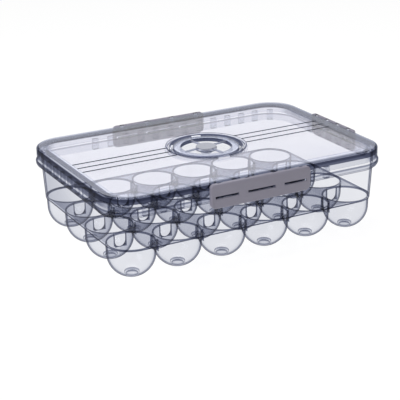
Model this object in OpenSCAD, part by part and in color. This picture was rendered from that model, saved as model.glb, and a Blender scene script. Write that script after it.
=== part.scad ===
// Refrigerator storage box with egg cups, a latched lid and a date dial.
// Millimetres, +Z up, +X to the right along the long side, -Y to the front.
// The origin is on the floor, under the middle of the box.

/* [Egg cups] */
// Distance between the centres of neighbouring cups
cup_pitch = 50; // [49.6:0.2:54]
// Cups along the long side
cup_cols = 6; // [6:1:8]
// Cups along the short side
cup_rows = 4; // [3:1:6]
// Gap between neighbouring cups where their round bottoms begin
cup_gap = 1.4; // [1.2:0.1:3]
// Growth of that radius from the round bottom up to the deck
cup_flare = 0.4; // [0.2:0.1:0.4]
// Wall thickness of a cup
cup_wall = 1.4; // [1:0.1:2]
// Height of the flat deck that joins the cups
deck_z = 35.4; // [33:0.1:38]
// Thickness of the deck
deck_t = 1.8; // [1.4:0.1:2.4]
// Strip of deck between the bevelled mouths of two cups
mouth_gap = 0.8; // [0.6:0.1:1.2]
// Outer radius of the foot ring, where the floor cuts a cup's round bottom
foot_r = 6.8; // [5:0.1:9]
// Width of the foot ring
foot_w = 1; // [0.8:0.1:2]
// Height of the hollow inside the foot ring
foot_hollow_h = 2.2; // [1:0.1:3]
// Thickness of the raised floor over that hollow
boss_t = 1.8; // [1.2:0.1:2.4]
// Distance from the foot ring to the edge of the raised floor
boss_step = 0.5; // [0.2:0.1:1]
// Width of the web between two cups
web_w = 12.4; // [8:0.2:14]
// Depth of the web below the deck
web_h = 15.5; // [12:0.5:18]

/* [Box wall] */
// Distance from the outer cups to the wall's outer foot
wall_step = 1.3; // [1.1:0.1:2.1]
// Lean of the wall from its foot up to the gutter
wall_lean = 2; // [1.8:0.1:2.8]
// Lean of the wall from the gutter up to its top
wall_top_lean = 0.4; // [0.2:0.1:0.6]
// Thickness of the wall
wall_t = 1.4; // [1.2:0.1:1.8]
// Depth of the wall's foot below the top of the deck
wall_foot_drop = 2; // [1.9:0.1:3]
// Depth of the top of the wall below the lid's rim
wall_top_drop = 5.4; // [4.6:0.1:6.2]
// Outer radius of the gutter that runs around the wall
gutter_r = 5.9; // [5.6:0.1:6.4]
// Thickness of the gutter
gutter_t = 1.2; // [1:0.1:1.6]
// Depth of the gutter's lip below the lid's rim
gutter_lip_drop = 13.8; // [13:0.1:15]
// Height of the lip above the gutter's round part
gutter_lip_h = 1.8; // [1.4:0.1:3]
// Pitch of the guide ribs behind the lid's skirt
rib_pitch = 18.4; // [16:0.2:22]
// Width of a guide rib
rib_w = 6.8; // [4:0.2:9]
// Depth of the top of a guide rib below the lid's rim
rib_top_drop = 8.4; // [7.6:0.1:10]
// Guide ribs on a long side
ribs_long = 12; // [4:1:12]
// Guide ribs on a short side
ribs_short = 6; // [2:1:6]
// Turn of the single rib on two opposite corners
rib_corner_turn = 31; // [25:1:45]

/* [Lid] */
// Height of the lid's rim, and of the whole box
lid_top_z = 90; // [89.6:0.1:92]
// Distance from the wall at the gutter to the skirt's outer face
lid_step = 4.7; // [4.6:0.1:5]
// Width of the flat rim around the panel
rim_w = 11.8; // [11:0.1:13]
// Thickness of the rim and of the inner wall
rim_t = 1.8; // [1.5:0.1:2]
// Thickness of the skirt
skirt_t = 1.6; // [1.4:0.1:1.8]
// Height of the skirt, from the rim down
skirt_h = 12; // [11:0.1:12.4]
// Height of the inner wall, from the rim down
inner_wall_h = 8; // [6:0.1:10]
// Rounding of the rim's outer edge
rim_round = 2.4; // [1.5:0.1:2.6]
// Depth of the panel below the rim
panel_drop = 1; // [0.6:0.1:1.4]
// Thickness of the panel
panel_t = 2; // [1.6:0.1:2.4]
// Distance between the long ridges on the panel
ridge_pitch = 12.7; // [8:0.1:16]
// Width of a ridge
ridge_w = 1.2; // [0.8:0.1:2]
// Height of a ridge
ridge_h = 0.6; // [0.4:0.1:0.9]

/* [Seal] */
// Width of the sealing ring
seal_w = 5.8; // [5:0.1:6]
// Gap under the sealing ring when the lid is down
seal_gap = 0.05; // [0.02:0.01:0.1]
// Width of the lid's rib beside the sealing ring
seal_rib_w = 1.2; // [0.8:0.1:1.6]
// Depth of that rib below the rim
seal_rib_h = 2.2; // [1.5:0.1:2.6]

/* [Clips] */
// Length of the front and back clips
long_clip_l = 113; // [100:1:124]
// Length of the right clip
short_clip_l = 81; // [70:1:92]
// Height of a clip, from the lid's rim down
clip_h = 25.5; // [22:0.5:30]
// Thickness of a clip's plate
clip_t = 1.8; // [1.5:0.1:1.9]
// Radius of the barrel along a clip's top
barrel_r = 2.4; // [2.3:0.05:2.4]
// Distance from the lid's skirt to the clip's axis
axle_gap = 2.8; // [2.7:0.05:3]
// Radius of the lid's bar that carries a clip
bar_r = 1.3; // [1.1:0.05:1.4]
// Running clearance around the bar
bar_clear = 0.1; // [0.06:0.01:0.15]
// Opening of the barrel that snaps over the bar
snap_gap = 2.2; // [1.8:0.1:2.3]
// Thickness of the webs that carry the bar
bar_web_t = 1.6; // [1.2:0.1:1.8]
// Width of the webs that carry the bar
bar_web_w = 4; // [3:0.5:6]
// Rounding of a clip's corners
clip_round = 6; // [3:0.5:8]
// Depth of the rims at a clip's ends
clip_rim_d = 3.5; // [2.4:0.1:3.6]
// Width of the rims at a clip's ends
clip_rim_w = 1.6; // [1.2:0.1:2.4]
// Depth of the middle of a clip's slots below the lid's rim
slot_drop = 14.2; // [13.6:0.1:15]
// Height of a slot
slot_h = 2.4; // [1.8:0.1:3]
// Length of a clip's middle slot, as a share of the clip
slot_mid_share = 0.275; // [0.2:0.005:0.28]
// Length of a clip's outer slots, as a share of the clip
slot_end_share = 0.23; // [0.18:0.005:0.24]
// Place of a clip's outer slots, as a share of the clip
slot_place_share = 0.344; // [0.32:0.002:0.35]
// Thickness of a catch on the gutter's lip
catch_t = 2; // [1:0.1:2.2]
// Height of a catch's top above the lip
catch_rise = 0.4; // [0:0.1:0.6]
// Gap between a catch and the closed clip
catch_gap = 0.3; // [0.2:0.05:0.5]

/* [Date dial] */
// Inner radius of the bezel
bezel_in_r = 37; // [36.8:0.1:37.4]
// Width of the bezel
bezel_w = 5.6; // [5.4:0.1:7]
// Height of the bezel above the panel
bezel_h = 0.8; // [0.5:0.1:0.9]
// Thickness of the bezel's sleeve
sleeve_t = 1.8; // [1.2:0.1:2]
// Wall thickness of the dial cup
dial_wall = 1.8; // [1.4:0.1:2]
// Height of the dial cup, from the panel's top down
dial_h = 6; // [5.6:0.1:7]
// Thickness of the dial cup's floor
dial_floor_t = 1.4; // [1.2:0.1:1.6]
// Width of the dial cup's flange under the panel
dial_flange_w = 2.8; // [2:0.1:4]
// Gap between the date wheel's ring and the bezel
wheel_gap_r = 2.2; // [2:0.1:3]
// Width of the date wheel's ring
wheel_w = 8.3; // [7:0.1:10]
// Thickness of the date wheel's top
wheel_t = 1.2; // [1:0.1:1.6]
// Thickness of the date wheel's skirts
wheel_skirt_t = 1.2; // [1:0.1:1.6]
// Depth of the date wheel's face below the panel's top
wheel_drop = 0.3; // [0.1:0.1:0.5]
// Width of a spoke
spoke_w = 2.4; // [2:0.1:3.4]
// Turn of the first spoke from the +X axis
spoke_turn = 10; // [0:1:45]
// Radius of the hub
hub_r = 11; // [9:0.1:14]
// Radius of the hub's stem
stem_r = 3; // [2.5:0.1:4]
// Running clearance around the stem
stem_clear = 0.06; // [0.04:0.01:0.1]
// Radius of the stem's end, which carries the retainer
stem_end_r = 2.2; // [1.6:0.1:2.3]
// Angle of the pointer from the +X axis
pointer_turn = 79; // [0:1:359]
// Half the angle that the pointer covers
pointer_half = 8; // [4:1:12]
// Angle of the first index lug from the +X axis
lug_turn = 31; // [0:1:119]
// Half the angle that an index lug covers
lug_half = 10; // [6:1:14]
// Thickness of the knob cap
cap_t = 1.1; // [0.8:0.1:1.2]
// Outer radius of the retainer
retainer_r = 6; // [5:0.1:8]
// Thickness of the retainer
retainer_t = 1.2; // [0.8:0.1:1.4]

/* [Hidden] */
$fn = 96;
eps = 0.01;

// Corner centres of every rounded outline: the centres of the corner cups
span_x = (cup_cols - 1) * cup_pitch / 2;
span_y = (cup_rows - 1) * cup_pitch / 2;

// Cups
cup_r = (cup_pitch - cup_gap) / 2;
mouth_r = (cup_pitch - mouth_gap) / 2;
cup_in_r = cup_r - cup_wall;
cup_top_r = cup_r + cup_flare;
cup_mid_z = sqrt(cup_r * cup_r - foot_r * foot_r);
boss_r = foot_r + boss_step;
boss_z = foot_hollow_h + boss_t;
mouth_h = 1.2;
web_merge = 0.2;
web_half = cup_pitch / 2 - sqrt(cup_r * cup_r - web_w * web_w / 4) + web_merge;

// Wall, by its distance outside the corner centres and its heights
wall_foot_d = cup_r + wall_step;
wall_gutter_d = wall_foot_d + wall_lean;
wall_top_d = wall_gutter_d + wall_top_lean;
wall_foot_z = deck_z - wall_foot_drop;
wall_top_z = lid_top_z - wall_top_drop;
gutter_lip_z = lid_top_z - gutter_lip_drop;
gutter_mid_z = gutter_lip_z - gutter_lip_h;

// Guide ribs: a row starts at its corner, and each half turn repeats them all
rib_clear = 0.4;
rib_foot_z = gutter_mid_z - gutter_r + gutter_t;
rib_top_z = lid_top_z - rib_top_drop;
lid_d = wall_gutter_d + lid_step;
rib_d = lid_d - skirt_t - rib_clear;
rib_long_start = -span_x + rib_w / 2;
rib_short_start = span_y - rib_pitch;

// Lid
panel_z = lid_top_z - panel_drop;
skirt_z = lid_top_z - skirt_h;
inner_wall_z = lid_top_z - inner_wall_h;
rim_in_d = lid_d - rim_w;
roof_z = lid_top_z - rim_t;
seal_play = 0.1;
seal_out_d = lid_d - skirt_t - seal_play;
seal_in_d = seal_out_d - seal_w;
seal_foot_z = wall_top_z + seal_gap;
seal_bevel = 1;
ridge_merge = 0.3;
ridge_end_d = rim_in_d + ridge_merge;
ridge_gap = 0.3;
bezel_r = bezel_in_r + bezel_w;
ridge_start_r = bezel_r + ridge_gap;

// Clips
barrel_drop = 0.1;
axle_z = lid_top_z - barrel_r - barrel_drop;
axle_d = lid_d + axle_gap;
clip_face_d = axle_d + barrel_r;
clip_drop = axle_z - lid_top_z + clip_h;
slot_z = lid_top_z - slot_drop;
bore_r = bar_r + bar_clear;
rail_inset = 8.5;
rail_end_gap = 1;
bar_webs = 4;
web_play = 1;
catch_in_d = wall_gutter_d + gutter_r - gutter_t / 2;
catch_out_d = clip_face_d - clip_t - catch_gap;
catch_short = 1;

// Date dial
sleeve_play = 0.05;
dial_in_r = bezel_in_r + sleeve_t + sleeve_play;
dial_r = dial_in_r + dial_wall;
hole_play = 0.15;
bezel_edge = 0.4;
dial_foot_z = panel_z - dial_h;
dial_floor_z = dial_foot_z + dial_floor_t;
lug_step = 120;
lug_gap = 0.4;
lug_drop = 0.5;
lug_h = 2;
wheel_gap = 0.4;
wheel_r = bezel_in_r - wheel_gap_r;
wheel_in_r = wheel_r - wheel_w;
wheel_top_z = panel_z - wheel_drop;
wheel_foot_z = dial_floor_z + wheel_gap;
pointer_t = 0.7;
pointer_gap = 0.3;
lug_top_z = wheel_top_z - pointer_t - lug_drop;
spoke_h = 1.6;
spoke_drop = 0.1;
hub_wall = 1.4;
cap_proud = 0.1;
hub_top_z = wheel_top_z + cap_proud - cap_t;
cap_inset = 0.4;
cap_r = hub_r - cap_inset;
cap_edge = 0.3;
cap_gap = 0.1;
spoke_start_r = cap_r + cap_gap;
peg_r = 1.2;
peg_l = 1;
retainer_gap = 0.3;
retainer_z = dial_foot_z - retainer_gap - retainer_t;
stem_end_l = 0.4;
stem_foot_z = retainer_z - stem_end_l;
stem_step_z = retainer_z + retainer_t;

// Flat outline that lies the distance d outside the corner centres
module plan(d) {
  square([2 * span_x, 2 * (span_y + d)], center = true);
  square([2 * (span_x + d), 2 * span_y], center = true);
  for (sx = [-1, 1], sy = [-1, 1]) translate([sx * span_x, sy * span_y]) circle(d);
}

// Carries a section all round the box: its X is the distance outside the
// corner centres and its Y is the height
module around() {
  for (turn = [0, 180]) rotate(turn) {
    translate([span_x, span_y, 0]) rotate_extrude(angle = 90) children();
    translate([-span_x, span_y, 0]) rotate(90) rotate_extrude(angle = 90) children();
    translate([-span_x, span_y, 0]) rotate([90, 0, 90]) linear_extrude(2 * span_x) children();
    translate([span_x, span_y, 0]) rotate([90, 0, 0]) linear_extrude(2 * span_y) children();
  }
}

// Places a copy at the centre of each cup
module at_cups() {
  for (col = [0 : cup_cols - 1], row = [0 : cup_rows - 1])
    translate([col * cup_pitch - span_x, row * cup_pitch - span_y, 0]) children();
}

// Half section of a round-bottomed cup, the same for its outside and its hollow
module cup_section(r, top_r, top_z) {
  intersection() {
    translate([0, cup_mid_z]) circle(r);
    square([r + 1, cup_mid_z]);
  }
  polygon([[0, cup_mid_z], [r, cup_mid_z], [top_r, top_z], [0, top_z]]);
}

// Outside of a cup, flat on the floor with a hollow in the middle of its foot
module cup_outside() {
  rotate_extrude() difference() {
    cup_section(cup_r, cup_top_r, deck_z - deck_t / 2);
    translate([-1, -1]) square([1 + foot_r - foot_w, 1 + foot_hollow_h]);
  }
}

// Room for the egg, over the raised floor, with a bevelled mouth
module cup_hollow() {
  rotate_extrude() {
    difference() {
      cup_section(cup_in_r, cup_in_r + cup_flare, deck_z - mouth_h);
      translate([-1, -1]) square([1 + boss_r, 1 + boss_z]);
    }
    polygon([[0, deck_z - mouth_h - eps], [cup_in_r + cup_flare, deck_z - mouth_h - eps],
             [cup_in_r + cup_flare, deck_z - mouth_h], [mouth_r, deck_z], [mouth_r, deck_z + 1],
             [0, deck_z + 1]]);
  }
}

// Web with a round lower edge, standing across the line between two cups
module cup_web() {
  rotate([90, 0, 0]) linear_extrude(2 * web_half, center = true) {
    translate([0, deck_z - web_h + web_w / 2]) circle(web_w / 2);
    translate([-web_w / 2, deck_z - web_h + web_w / 2])
      square([web_w, web_h - web_w / 2 - deck_t / 2]);
  }
}

module cup_webs() {
  for (col = [0 : cup_cols - 1], row = [0 : cup_rows - 2])
    translate([col * cup_pitch - span_x, (row + 0.5) * cup_pitch - span_y, 0]) cup_web();
  for (col = [0 : cup_cols - 2], row = [0 : cup_rows - 1])
    translate([(col + 0.5) * cup_pitch - span_x, row * cup_pitch - span_y, 0]) rotate(90) cup_web();
}

// Section of the wall with the gutter outside it
module wall_section() {
  polygon([[wall_foot_d - wall_t, wall_foot_z], [wall_foot_d, wall_foot_z],
           [wall_gutter_d, gutter_mid_z - gutter_r], [wall_top_d, wall_top_z],
           [wall_top_d - wall_t, wall_top_z],
           [wall_gutter_d - wall_t, gutter_mid_z - gutter_r]]);
  difference() {
    union() {
      intersection() {
        translate([wall_gutter_d, gutter_mid_z]) circle(gutter_r);
        translate([wall_gutter_d - wall_t / 2, gutter_mid_z - gutter_r])
          square([gutter_r + wall_t, gutter_r]);
      }
      translate([wall_gutter_d + gutter_r - gutter_t, gutter_mid_z])
        square([gutter_t, gutter_lip_z - gutter_mid_z]);
    }
    translate([wall_gutter_d, gutter_mid_z]) circle(gutter_r - gutter_t);
  }
}

// Lengths and places of a clip's slots, which its catches share
function slot_places(l) = [-slot_place_share * l, 0, slot_place_share * l];
function slot_lengths(l) = [slot_end_share * l, slot_mid_share * l, slot_end_share * l];

// Catches on the gutter's lip behind a closed clip
module catches(span, l) {
  for (i = [0 : 2])
    translate([slot_places(l)[i] - slot_lengths(l)[i] / 2 + catch_short, -span - catch_out_d,
               gutter_lip_z + catch_rise - catch_t])
      cube([slot_lengths(l)[i] - 2 * catch_short, catch_out_d - catch_in_d, catch_t]);
}

// One guide rib of a wall that stands the distance span from the middle
module guide_rib(span) {
  translate([-rib_w / 2, -span - rib_d, rib_foot_z])
    cube([rib_w, rib_d - wall_gutter_d + wall_t / 2, rib_top_z - rib_foot_z]);
}

module guide_ribs() {
  for (turn = [0, 180]) rotate(turn) {
    for (i = [0 : ribs_long - 1]) translate([rib_long_start + i * rib_pitch, 0, 0]) guide_rib(span_y);
    for (i = [0 : ribs_short - 1])
      rotate(-90) translate([-rib_short_start + i * rib_pitch, 0, 0]) guide_rib(span_x);
    translate([-span_x, -span_y, 0]) rotate(-rib_corner_turn) guide_rib(0);
  }
}

// The box itself: cups, deck, wall and gutter in one moulding
module container() {
  color([0.55, 0.6, 0.7, 0.5]) union() {
    difference() {
      union() {
        translate([0, 0, deck_z - deck_t]) linear_extrude(deck_t) plan(wall_foot_d - wall_t / 2);
        at_cups() cup_outside();
        cup_webs();
      }
      at_cups() cup_hollow();
    }
    around() wall_section();
    guide_ribs();
    for (turn = [0, 180]) rotate(turn) catches(span_y, long_clip_l);
    rotate(90) catches(span_x, short_clip_l);
  }
}

// Section of the lid's rim: top, skirt, inner wall and the rib beside the seal
module lid_section() {
  difference() {
    union() {
      translate([rim_in_d, skirt_z]) square([rim_w, lid_top_z - rim_round - skirt_z]);
      translate([rim_in_d, skirt_z]) square([rim_w - rim_round, lid_top_z - skirt_z]);
      translate([lid_d - rim_round, lid_top_z - rim_round]) circle(rim_round);
    }
    translate([rim_in_d + rim_t, skirt_z - 1])
      square([rim_w - rim_t - skirt_t, roof_z - skirt_z + 1]);
    translate([rim_in_d - 1, skirt_z - 1]) square([rim_t + 2, inner_wall_z - skirt_z + 1]);
  }
  translate([seal_in_d - seal_play - seal_rib_w, roof_z - seal_rib_h])
    square([seal_rib_w, seal_rib_h + rim_t / 2]);
}

// Bar along the outside of the skirt, on webs, that carries one clip
module clip_rail(span, l) {
  bar_l = l - 2 * rail_inset;
  translate([0, -span - axle_d, axle_z]) {
    rotate([0, 90, 0]) cylinder(r = bar_r, h = bar_l, center = true);
    for (i = [0 : bar_webs - 1])
      translate([(i / (bar_webs - 1) - 0.5) * (bar_l - bar_web_w), 0, 0])
        rotate([-45, 0, 0]) translate([-bar_web_w / 2, 0, -bar_web_t / 2])
          cube([bar_web_w, (axle_gap + skirt_t / 2) * sqrt(2), bar_web_t]);
  }
}

module lid() {
  color([0.6, 0.65, 0.74, 0.5]) difference() {
    union() {
      around() lid_section();
      translate([0, 0, panel_z - panel_t]) linear_extrude(panel_t) plan(rim_in_d + rim_t / 2);
      difference() {
        for (side = [-1, 0, 1])
          translate([-span_x - ridge_end_d, side * ridge_pitch - ridge_w / 2, panel_z - eps])
            cube([2 * (span_x + ridge_end_d), ridge_w, ridge_h + eps]);
        translate([0, 0, panel_z - 1]) cylinder(r = ridge_start_r, h = ridge_h + 2);
      }
      for (turn = [0, 180]) rotate(turn) clip_rail(span_y, long_clip_l);
      rotate(90) clip_rail(span_x, short_clip_l);
    }
    translate([0, 0, panel_z - panel_t - 1]) cylinder(r = dial_r + hole_play, h = panel_t + 2);
  }
}

// Soft ring in the lid's channel, over the top of the wall
module seal_ring() {
  color([0.75, 0.77, 0.8, 0.7]) around()
    polygon([[seal_in_d, roof_z], [seal_in_d, seal_foot_z + seal_bevel],
             [seal_in_d + seal_bevel, seal_foot_z], [seal_out_d - seal_bevel, seal_foot_z],
             [seal_out_d, seal_foot_z + seal_bevel], [seal_out_d, roof_z]]);
}

// Outline of a clip seen from its front
module clip_outline(l) {
  for (sx = [-1, 1], z = [-clip_drop + clip_round, barrel_r - clip_round])
    translate([sx * (l / 2 - clip_round), z]) circle(clip_round);
  translate([-l / 2, -clip_drop + clip_round])
    square([l, clip_drop + barrel_r - 2 * clip_round]);
  translate([-l / 2 + clip_round, -clip_drop])
    square([l - 2 * clip_round, clip_drop + barrel_r]);
}

// Clip for the side that faces -Y, with its axis along X
module clip(span, l) {
  bar_l = l - 2 * rail_inset;
  translate([0, -span - axle_d, axle_z]) difference() {
    intersection() {
      union() {
        rotate([0, 90, 0]) cylinder(r = barrel_r, h = l, center = true);
        translate([-l / 2, -barrel_r, -clip_drop]) cube([l, clip_t, clip_drop]);
        for (sx = [-1, 1])
          translate([sx * (l - clip_rim_w) / 2 - clip_rim_w / 2, -barrel_r, -clip_drop])
            cube([clip_rim_w, clip_rim_d, clip_drop]);
      }
      translate([0, barrel_r + 1, 0]) rotate([90, 0, 0])
        linear_extrude(2 * barrel_r + 2) clip_outline(l);
    }
    rotate([0, 90, 0]) cylinder(r = bore_r, h = bar_l + 2 * rail_end_gap, center = true);
    translate([-bar_l / 2 - rail_end_gap, 0, -snap_gap / 2])
      cube([bar_l + 2 * rail_end_gap, barrel_r + 1, snap_gap]);
    for (i = [0 : bar_webs - 1])
      translate([(i / (bar_webs - 1) - 0.5) * (bar_l - bar_web_w) - (bar_web_w + web_play) / 2,
                 -barrel_r + clip_t, -barrel_r - 1])
        cube([bar_web_w + web_play, 2 * barrel_r + 1, 2 * barrel_r + 2]);
    for (i = [0 : 2])
      translate([slot_places(l)[i] - slot_lengths(l)[i] / 2, -barrel_r - 1,
                 slot_z - slot_h / 2 - axle_z])
        cube([slot_lengths(l)[i], clip_t + 2, slot_h]);
  }
}

module front_clip() {
  color([0.55, 0.53, 0.57]) clip(span_y, long_clip_l);
}

module back_clip() {
  color([0.55, 0.53, 0.57]) rotate(180) clip(span_y, long_clip_l);
}

module right_clip() {
  color([0.55, 0.53, 0.57]) rotate(90) clip(span_x, short_clip_l);
}

// Cup that hangs in the panel's round hole and carries the date wheel
module dial_cup() {
  color([0.55, 0.6, 0.7, 0.6]) rotate_extrude()
    polygon([[stem_r + stem_clear, dial_foot_z], [dial_r, dial_foot_z],
             [dial_r, panel_z - panel_t - dial_floor_t],
             [dial_r + dial_flange_w, panel_z - panel_t - dial_floor_t],
             [dial_r + dial_flange_w, panel_z - panel_t], [dial_r, panel_z - panel_t],
             [dial_r, panel_z], [dial_in_r, panel_z], [dial_in_r, dial_floor_z],
             [stem_r + stem_clear, dial_floor_z]]);
}

// Ring over the edge of the hole, with a sleeve down to the cup's floor
module dial_bezel() {
  top_z = panel_z + bezel_h;
  color([0.7, 0.73, 0.8, 0.6]) {
    rotate_extrude()
      polygon([[bezel_in_r, dial_floor_z], [bezel_in_r + sleeve_t, dial_floor_z],
               [bezel_in_r + sleeve_t, panel_z], [bezel_r, panel_z],
               [bezel_r, top_z - bezel_edge], [bezel_r - bezel_edge, top_z],
               [bezel_in_r + bezel_edge, top_z], [bezel_in_r, top_z - bezel_edge]]);
    for (i = [0 : 2])
      rotate(lug_turn - lug_half + i * lug_step) rotate_extrude(angle = 2 * lug_half)
        translate([wheel_r + lug_gap, lug_top_z - lug_h])
          square([bezel_in_r - wheel_r - lug_gap + sleeve_t / 2, lug_h]);
  }
}

// Turning ring with four spokes, a hub and a stem through the cup's floor
module date_wheel() {
  color([0.82, 0.84, 0.88, 0.6]) {
    difference() {
      union() {
        rotate_extrude() {
          translate([wheel_in_r, wheel_foot_z])
            square([wheel_skirt_t, wheel_top_z - wheel_foot_z]);
          translate([wheel_r - wheel_skirt_t, wheel_foot_z])
            square([wheel_skirt_t, wheel_top_z - wheel_foot_z]);
          translate([wheel_in_r, wheel_top_z - wheel_t]) square([wheel_r - wheel_in_r, wheel_t]);
          translate([hub_r - hub_wall, wheel_foot_z]) square([hub_wall, hub_top_z - wheel_foot_z]);
          translate([0, hub_top_z - hub_wall]) square([hub_r, hub_wall]);
          translate([0, stem_step_z]) square([stem_r, hub_top_z - stem_step_z - hub_wall / 2]);
          translate([0, stem_foot_z]) square([stem_end_r, hub_top_z - stem_foot_z - hub_wall]);
        }
        for (i = [0 : 3]) rotate(spoke_turn + i * 90)
          translate([spoke_start_r, -spoke_w / 2, wheel_top_z - spoke_h - spoke_drop])
            cube([wheel_in_r + wheel_skirt_t / 2 - spoke_start_r, spoke_w, spoke_h]);
      }
      translate([0, 0, hub_top_z - peg_l]) cylinder(r = peg_r, h = peg_l + 1);
    }
    rotate(pointer_turn - pointer_half) rotate_extrude(angle = 2 * pointer_half)
      translate([wheel_r - wheel_skirt_t / 2, wheel_top_z - pointer_t])
        square([bezel_in_r - pointer_gap - wheel_r + wheel_skirt_t / 2, pointer_t]);
  }
}

// Disc on the hub that the thumb turns, with a peg in the hub
module knob_cap() {
  cap_top_z = hub_top_z + cap_t;
  color([0.72, 0.73, 0.76]) rotate_extrude()
    polygon([[0, hub_top_z - peg_l], [peg_r, hub_top_z - peg_l], [peg_r, hub_top_z],
             [cap_r, hub_top_z], [cap_r, cap_top_z - cap_edge], [cap_r - cap_edge, cap_top_z],
             [0, cap_top_z]]);
}

// Push-on washer that holds the wheel's stem under the cup
module wheel_retainer() {
  color([0.75, 0.76, 0.78]) rotate_extrude()
    polygon([[stem_end_r, retainer_z], [retainer_r, retainer_z],
             [retainer_r, retainer_z + retainer_t], [stem_end_r, retainer_z + retainer_t]]);
}

container();
lid();
seal_ring();
front_clip();
back_clip();
right_clip();
dial_cup();
dial_bezel();
date_wheel();
knob_cap();
wheel_retainer();
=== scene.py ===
"""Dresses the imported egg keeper: a clear smoky tray, a clear lid with its seal, grey clips and a date dial.

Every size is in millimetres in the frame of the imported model, with +Z up and -Y to the front,
and becomes metres when a mesh is made.
"""

from __future__ import annotations

import logging
import math
from dataclasses import dataclass, field
from enum import Enum, IntEnum
from typing import Callable, Iterable, Sequence

import bmesh
import bpy
from mathutils import Matrix, Vector


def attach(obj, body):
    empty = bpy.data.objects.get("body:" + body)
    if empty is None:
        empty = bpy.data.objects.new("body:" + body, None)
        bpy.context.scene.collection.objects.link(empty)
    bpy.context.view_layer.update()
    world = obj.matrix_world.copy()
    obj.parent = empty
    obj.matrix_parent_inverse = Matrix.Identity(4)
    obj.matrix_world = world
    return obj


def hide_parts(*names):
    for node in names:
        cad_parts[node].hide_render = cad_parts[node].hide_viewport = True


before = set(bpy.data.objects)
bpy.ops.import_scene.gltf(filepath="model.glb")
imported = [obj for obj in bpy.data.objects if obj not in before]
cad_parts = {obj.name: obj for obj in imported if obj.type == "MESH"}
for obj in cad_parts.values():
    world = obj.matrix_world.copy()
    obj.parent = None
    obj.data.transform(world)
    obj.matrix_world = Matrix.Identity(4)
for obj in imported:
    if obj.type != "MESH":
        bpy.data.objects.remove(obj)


LOG = logging.getLogger("egg_keeper")
MM = 0.001
MERGE = 1e-6
DEEP = "deep"
INWARD = "inward_deep"
# Parts of a normal that point up or down, past which a face counts as flat, as not steep and as level
FLAT = 0.5
STEEP = 0.6
LEVEL = 0.95

Piece = bpy.types.Object
Node = bpy.types.Node
Socket = bpy.types.NodeSocket
Tree = bpy.types.NodeTree
Material = bpy.types.Material
Point2 = tuple[float, float]
Point3 = tuple[float, float, float]
Colour = tuple[float, float, float]


class Body(Enum):
    """The moving bodies that a piece can ride on."""

    CONTAINER = "container"
    LID = "lid"
    FRONT_CLIP = "front_clip"
    BACK_CLIP = "back_clip"
    RIGHT_CLIP = "right_clip"
    DATE_WHEEL = "date_wheel"


class RecordSlot(Enum):
    """The record's material slots."""

    SMOKY = "smoky_clear"
    SEAL = "clear_seal"
    CLIP = "grey_clip"
    KNOB = "pale_knob"


# Node trees


class Graph:
    """Places and joins nodes of one shader or geometry tree."""

    def __init__(self, tree: Tree) -> None:
        """Starts on a tree that may already hold nodes."""
        self.tree = tree

    def node(self, kind: str, settings: dict | None = None, inputs: dict | None = None) -> Node:
        """Adds one node.

        Args:
            kind: The node's type name.
            settings: Values of the node's own properties.
            inputs: Values or sockets for its inputs, by name or by number.

        Returns:
            The new node.
        """
        made = self.tree.nodes.new(kind)
        for key, value in (settings or {}).items():
            setattr(made, key, value)
        for key, value in (inputs or {}).items():
            socket = made.inputs[key]
            for one in value if isinstance(value, list) else [value]:
                if isinstance(one, Socket):
                    self.tree.links.new(one, socket)
                else:
                    socket.default_value = one
        return made

    def math(self, operation: str, *values: float | Socket, clamp: bool = False) -> Socket:
        """Adds a Math node.

        Args:
            operation: The operation's name.
            values: Its inputs in order.
            clamp: Whether the result is held between 0 and 1.

        Returns:
            The node's output.
        """
        kind = "ShaderNodeMath"
        made = self.node(kind, {"operation": operation, "use_clamp": clamp}, dict(enumerate(values)))
        return made.outputs[0]

    def blend(self, factor: Socket, first, second) -> Socket:
        """Mixes two colours.

        Args:
            factor: The share of the second colour.
            first: The first colour or its socket.
            second: The second colour or its socket.

        Returns:
            The mixed colour.
        """
        made = self.node("ShaderNodeMix", {"data_type": "RGBA"}, {0: factor, 6: first, 7: second})
        return made.outputs[2]


def add_sockets(tree: Tree, way: str, sockets: Sequence[tuple]) -> None:
    """Adds named sockets to a tree's interface.

    Args:
        tree: The node group.
        way: "INPUT" or "OUTPUT".
        sockets: Tuples of a name, a socket type and, for some, a default value.
    """
    for name, kind, *default in sockets:
        made = tree.interface.new_socket(name=name, in_out=way, socket_type=kind)
        if default:
            made.default_value = default[0]


# Shared shader groups


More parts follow.
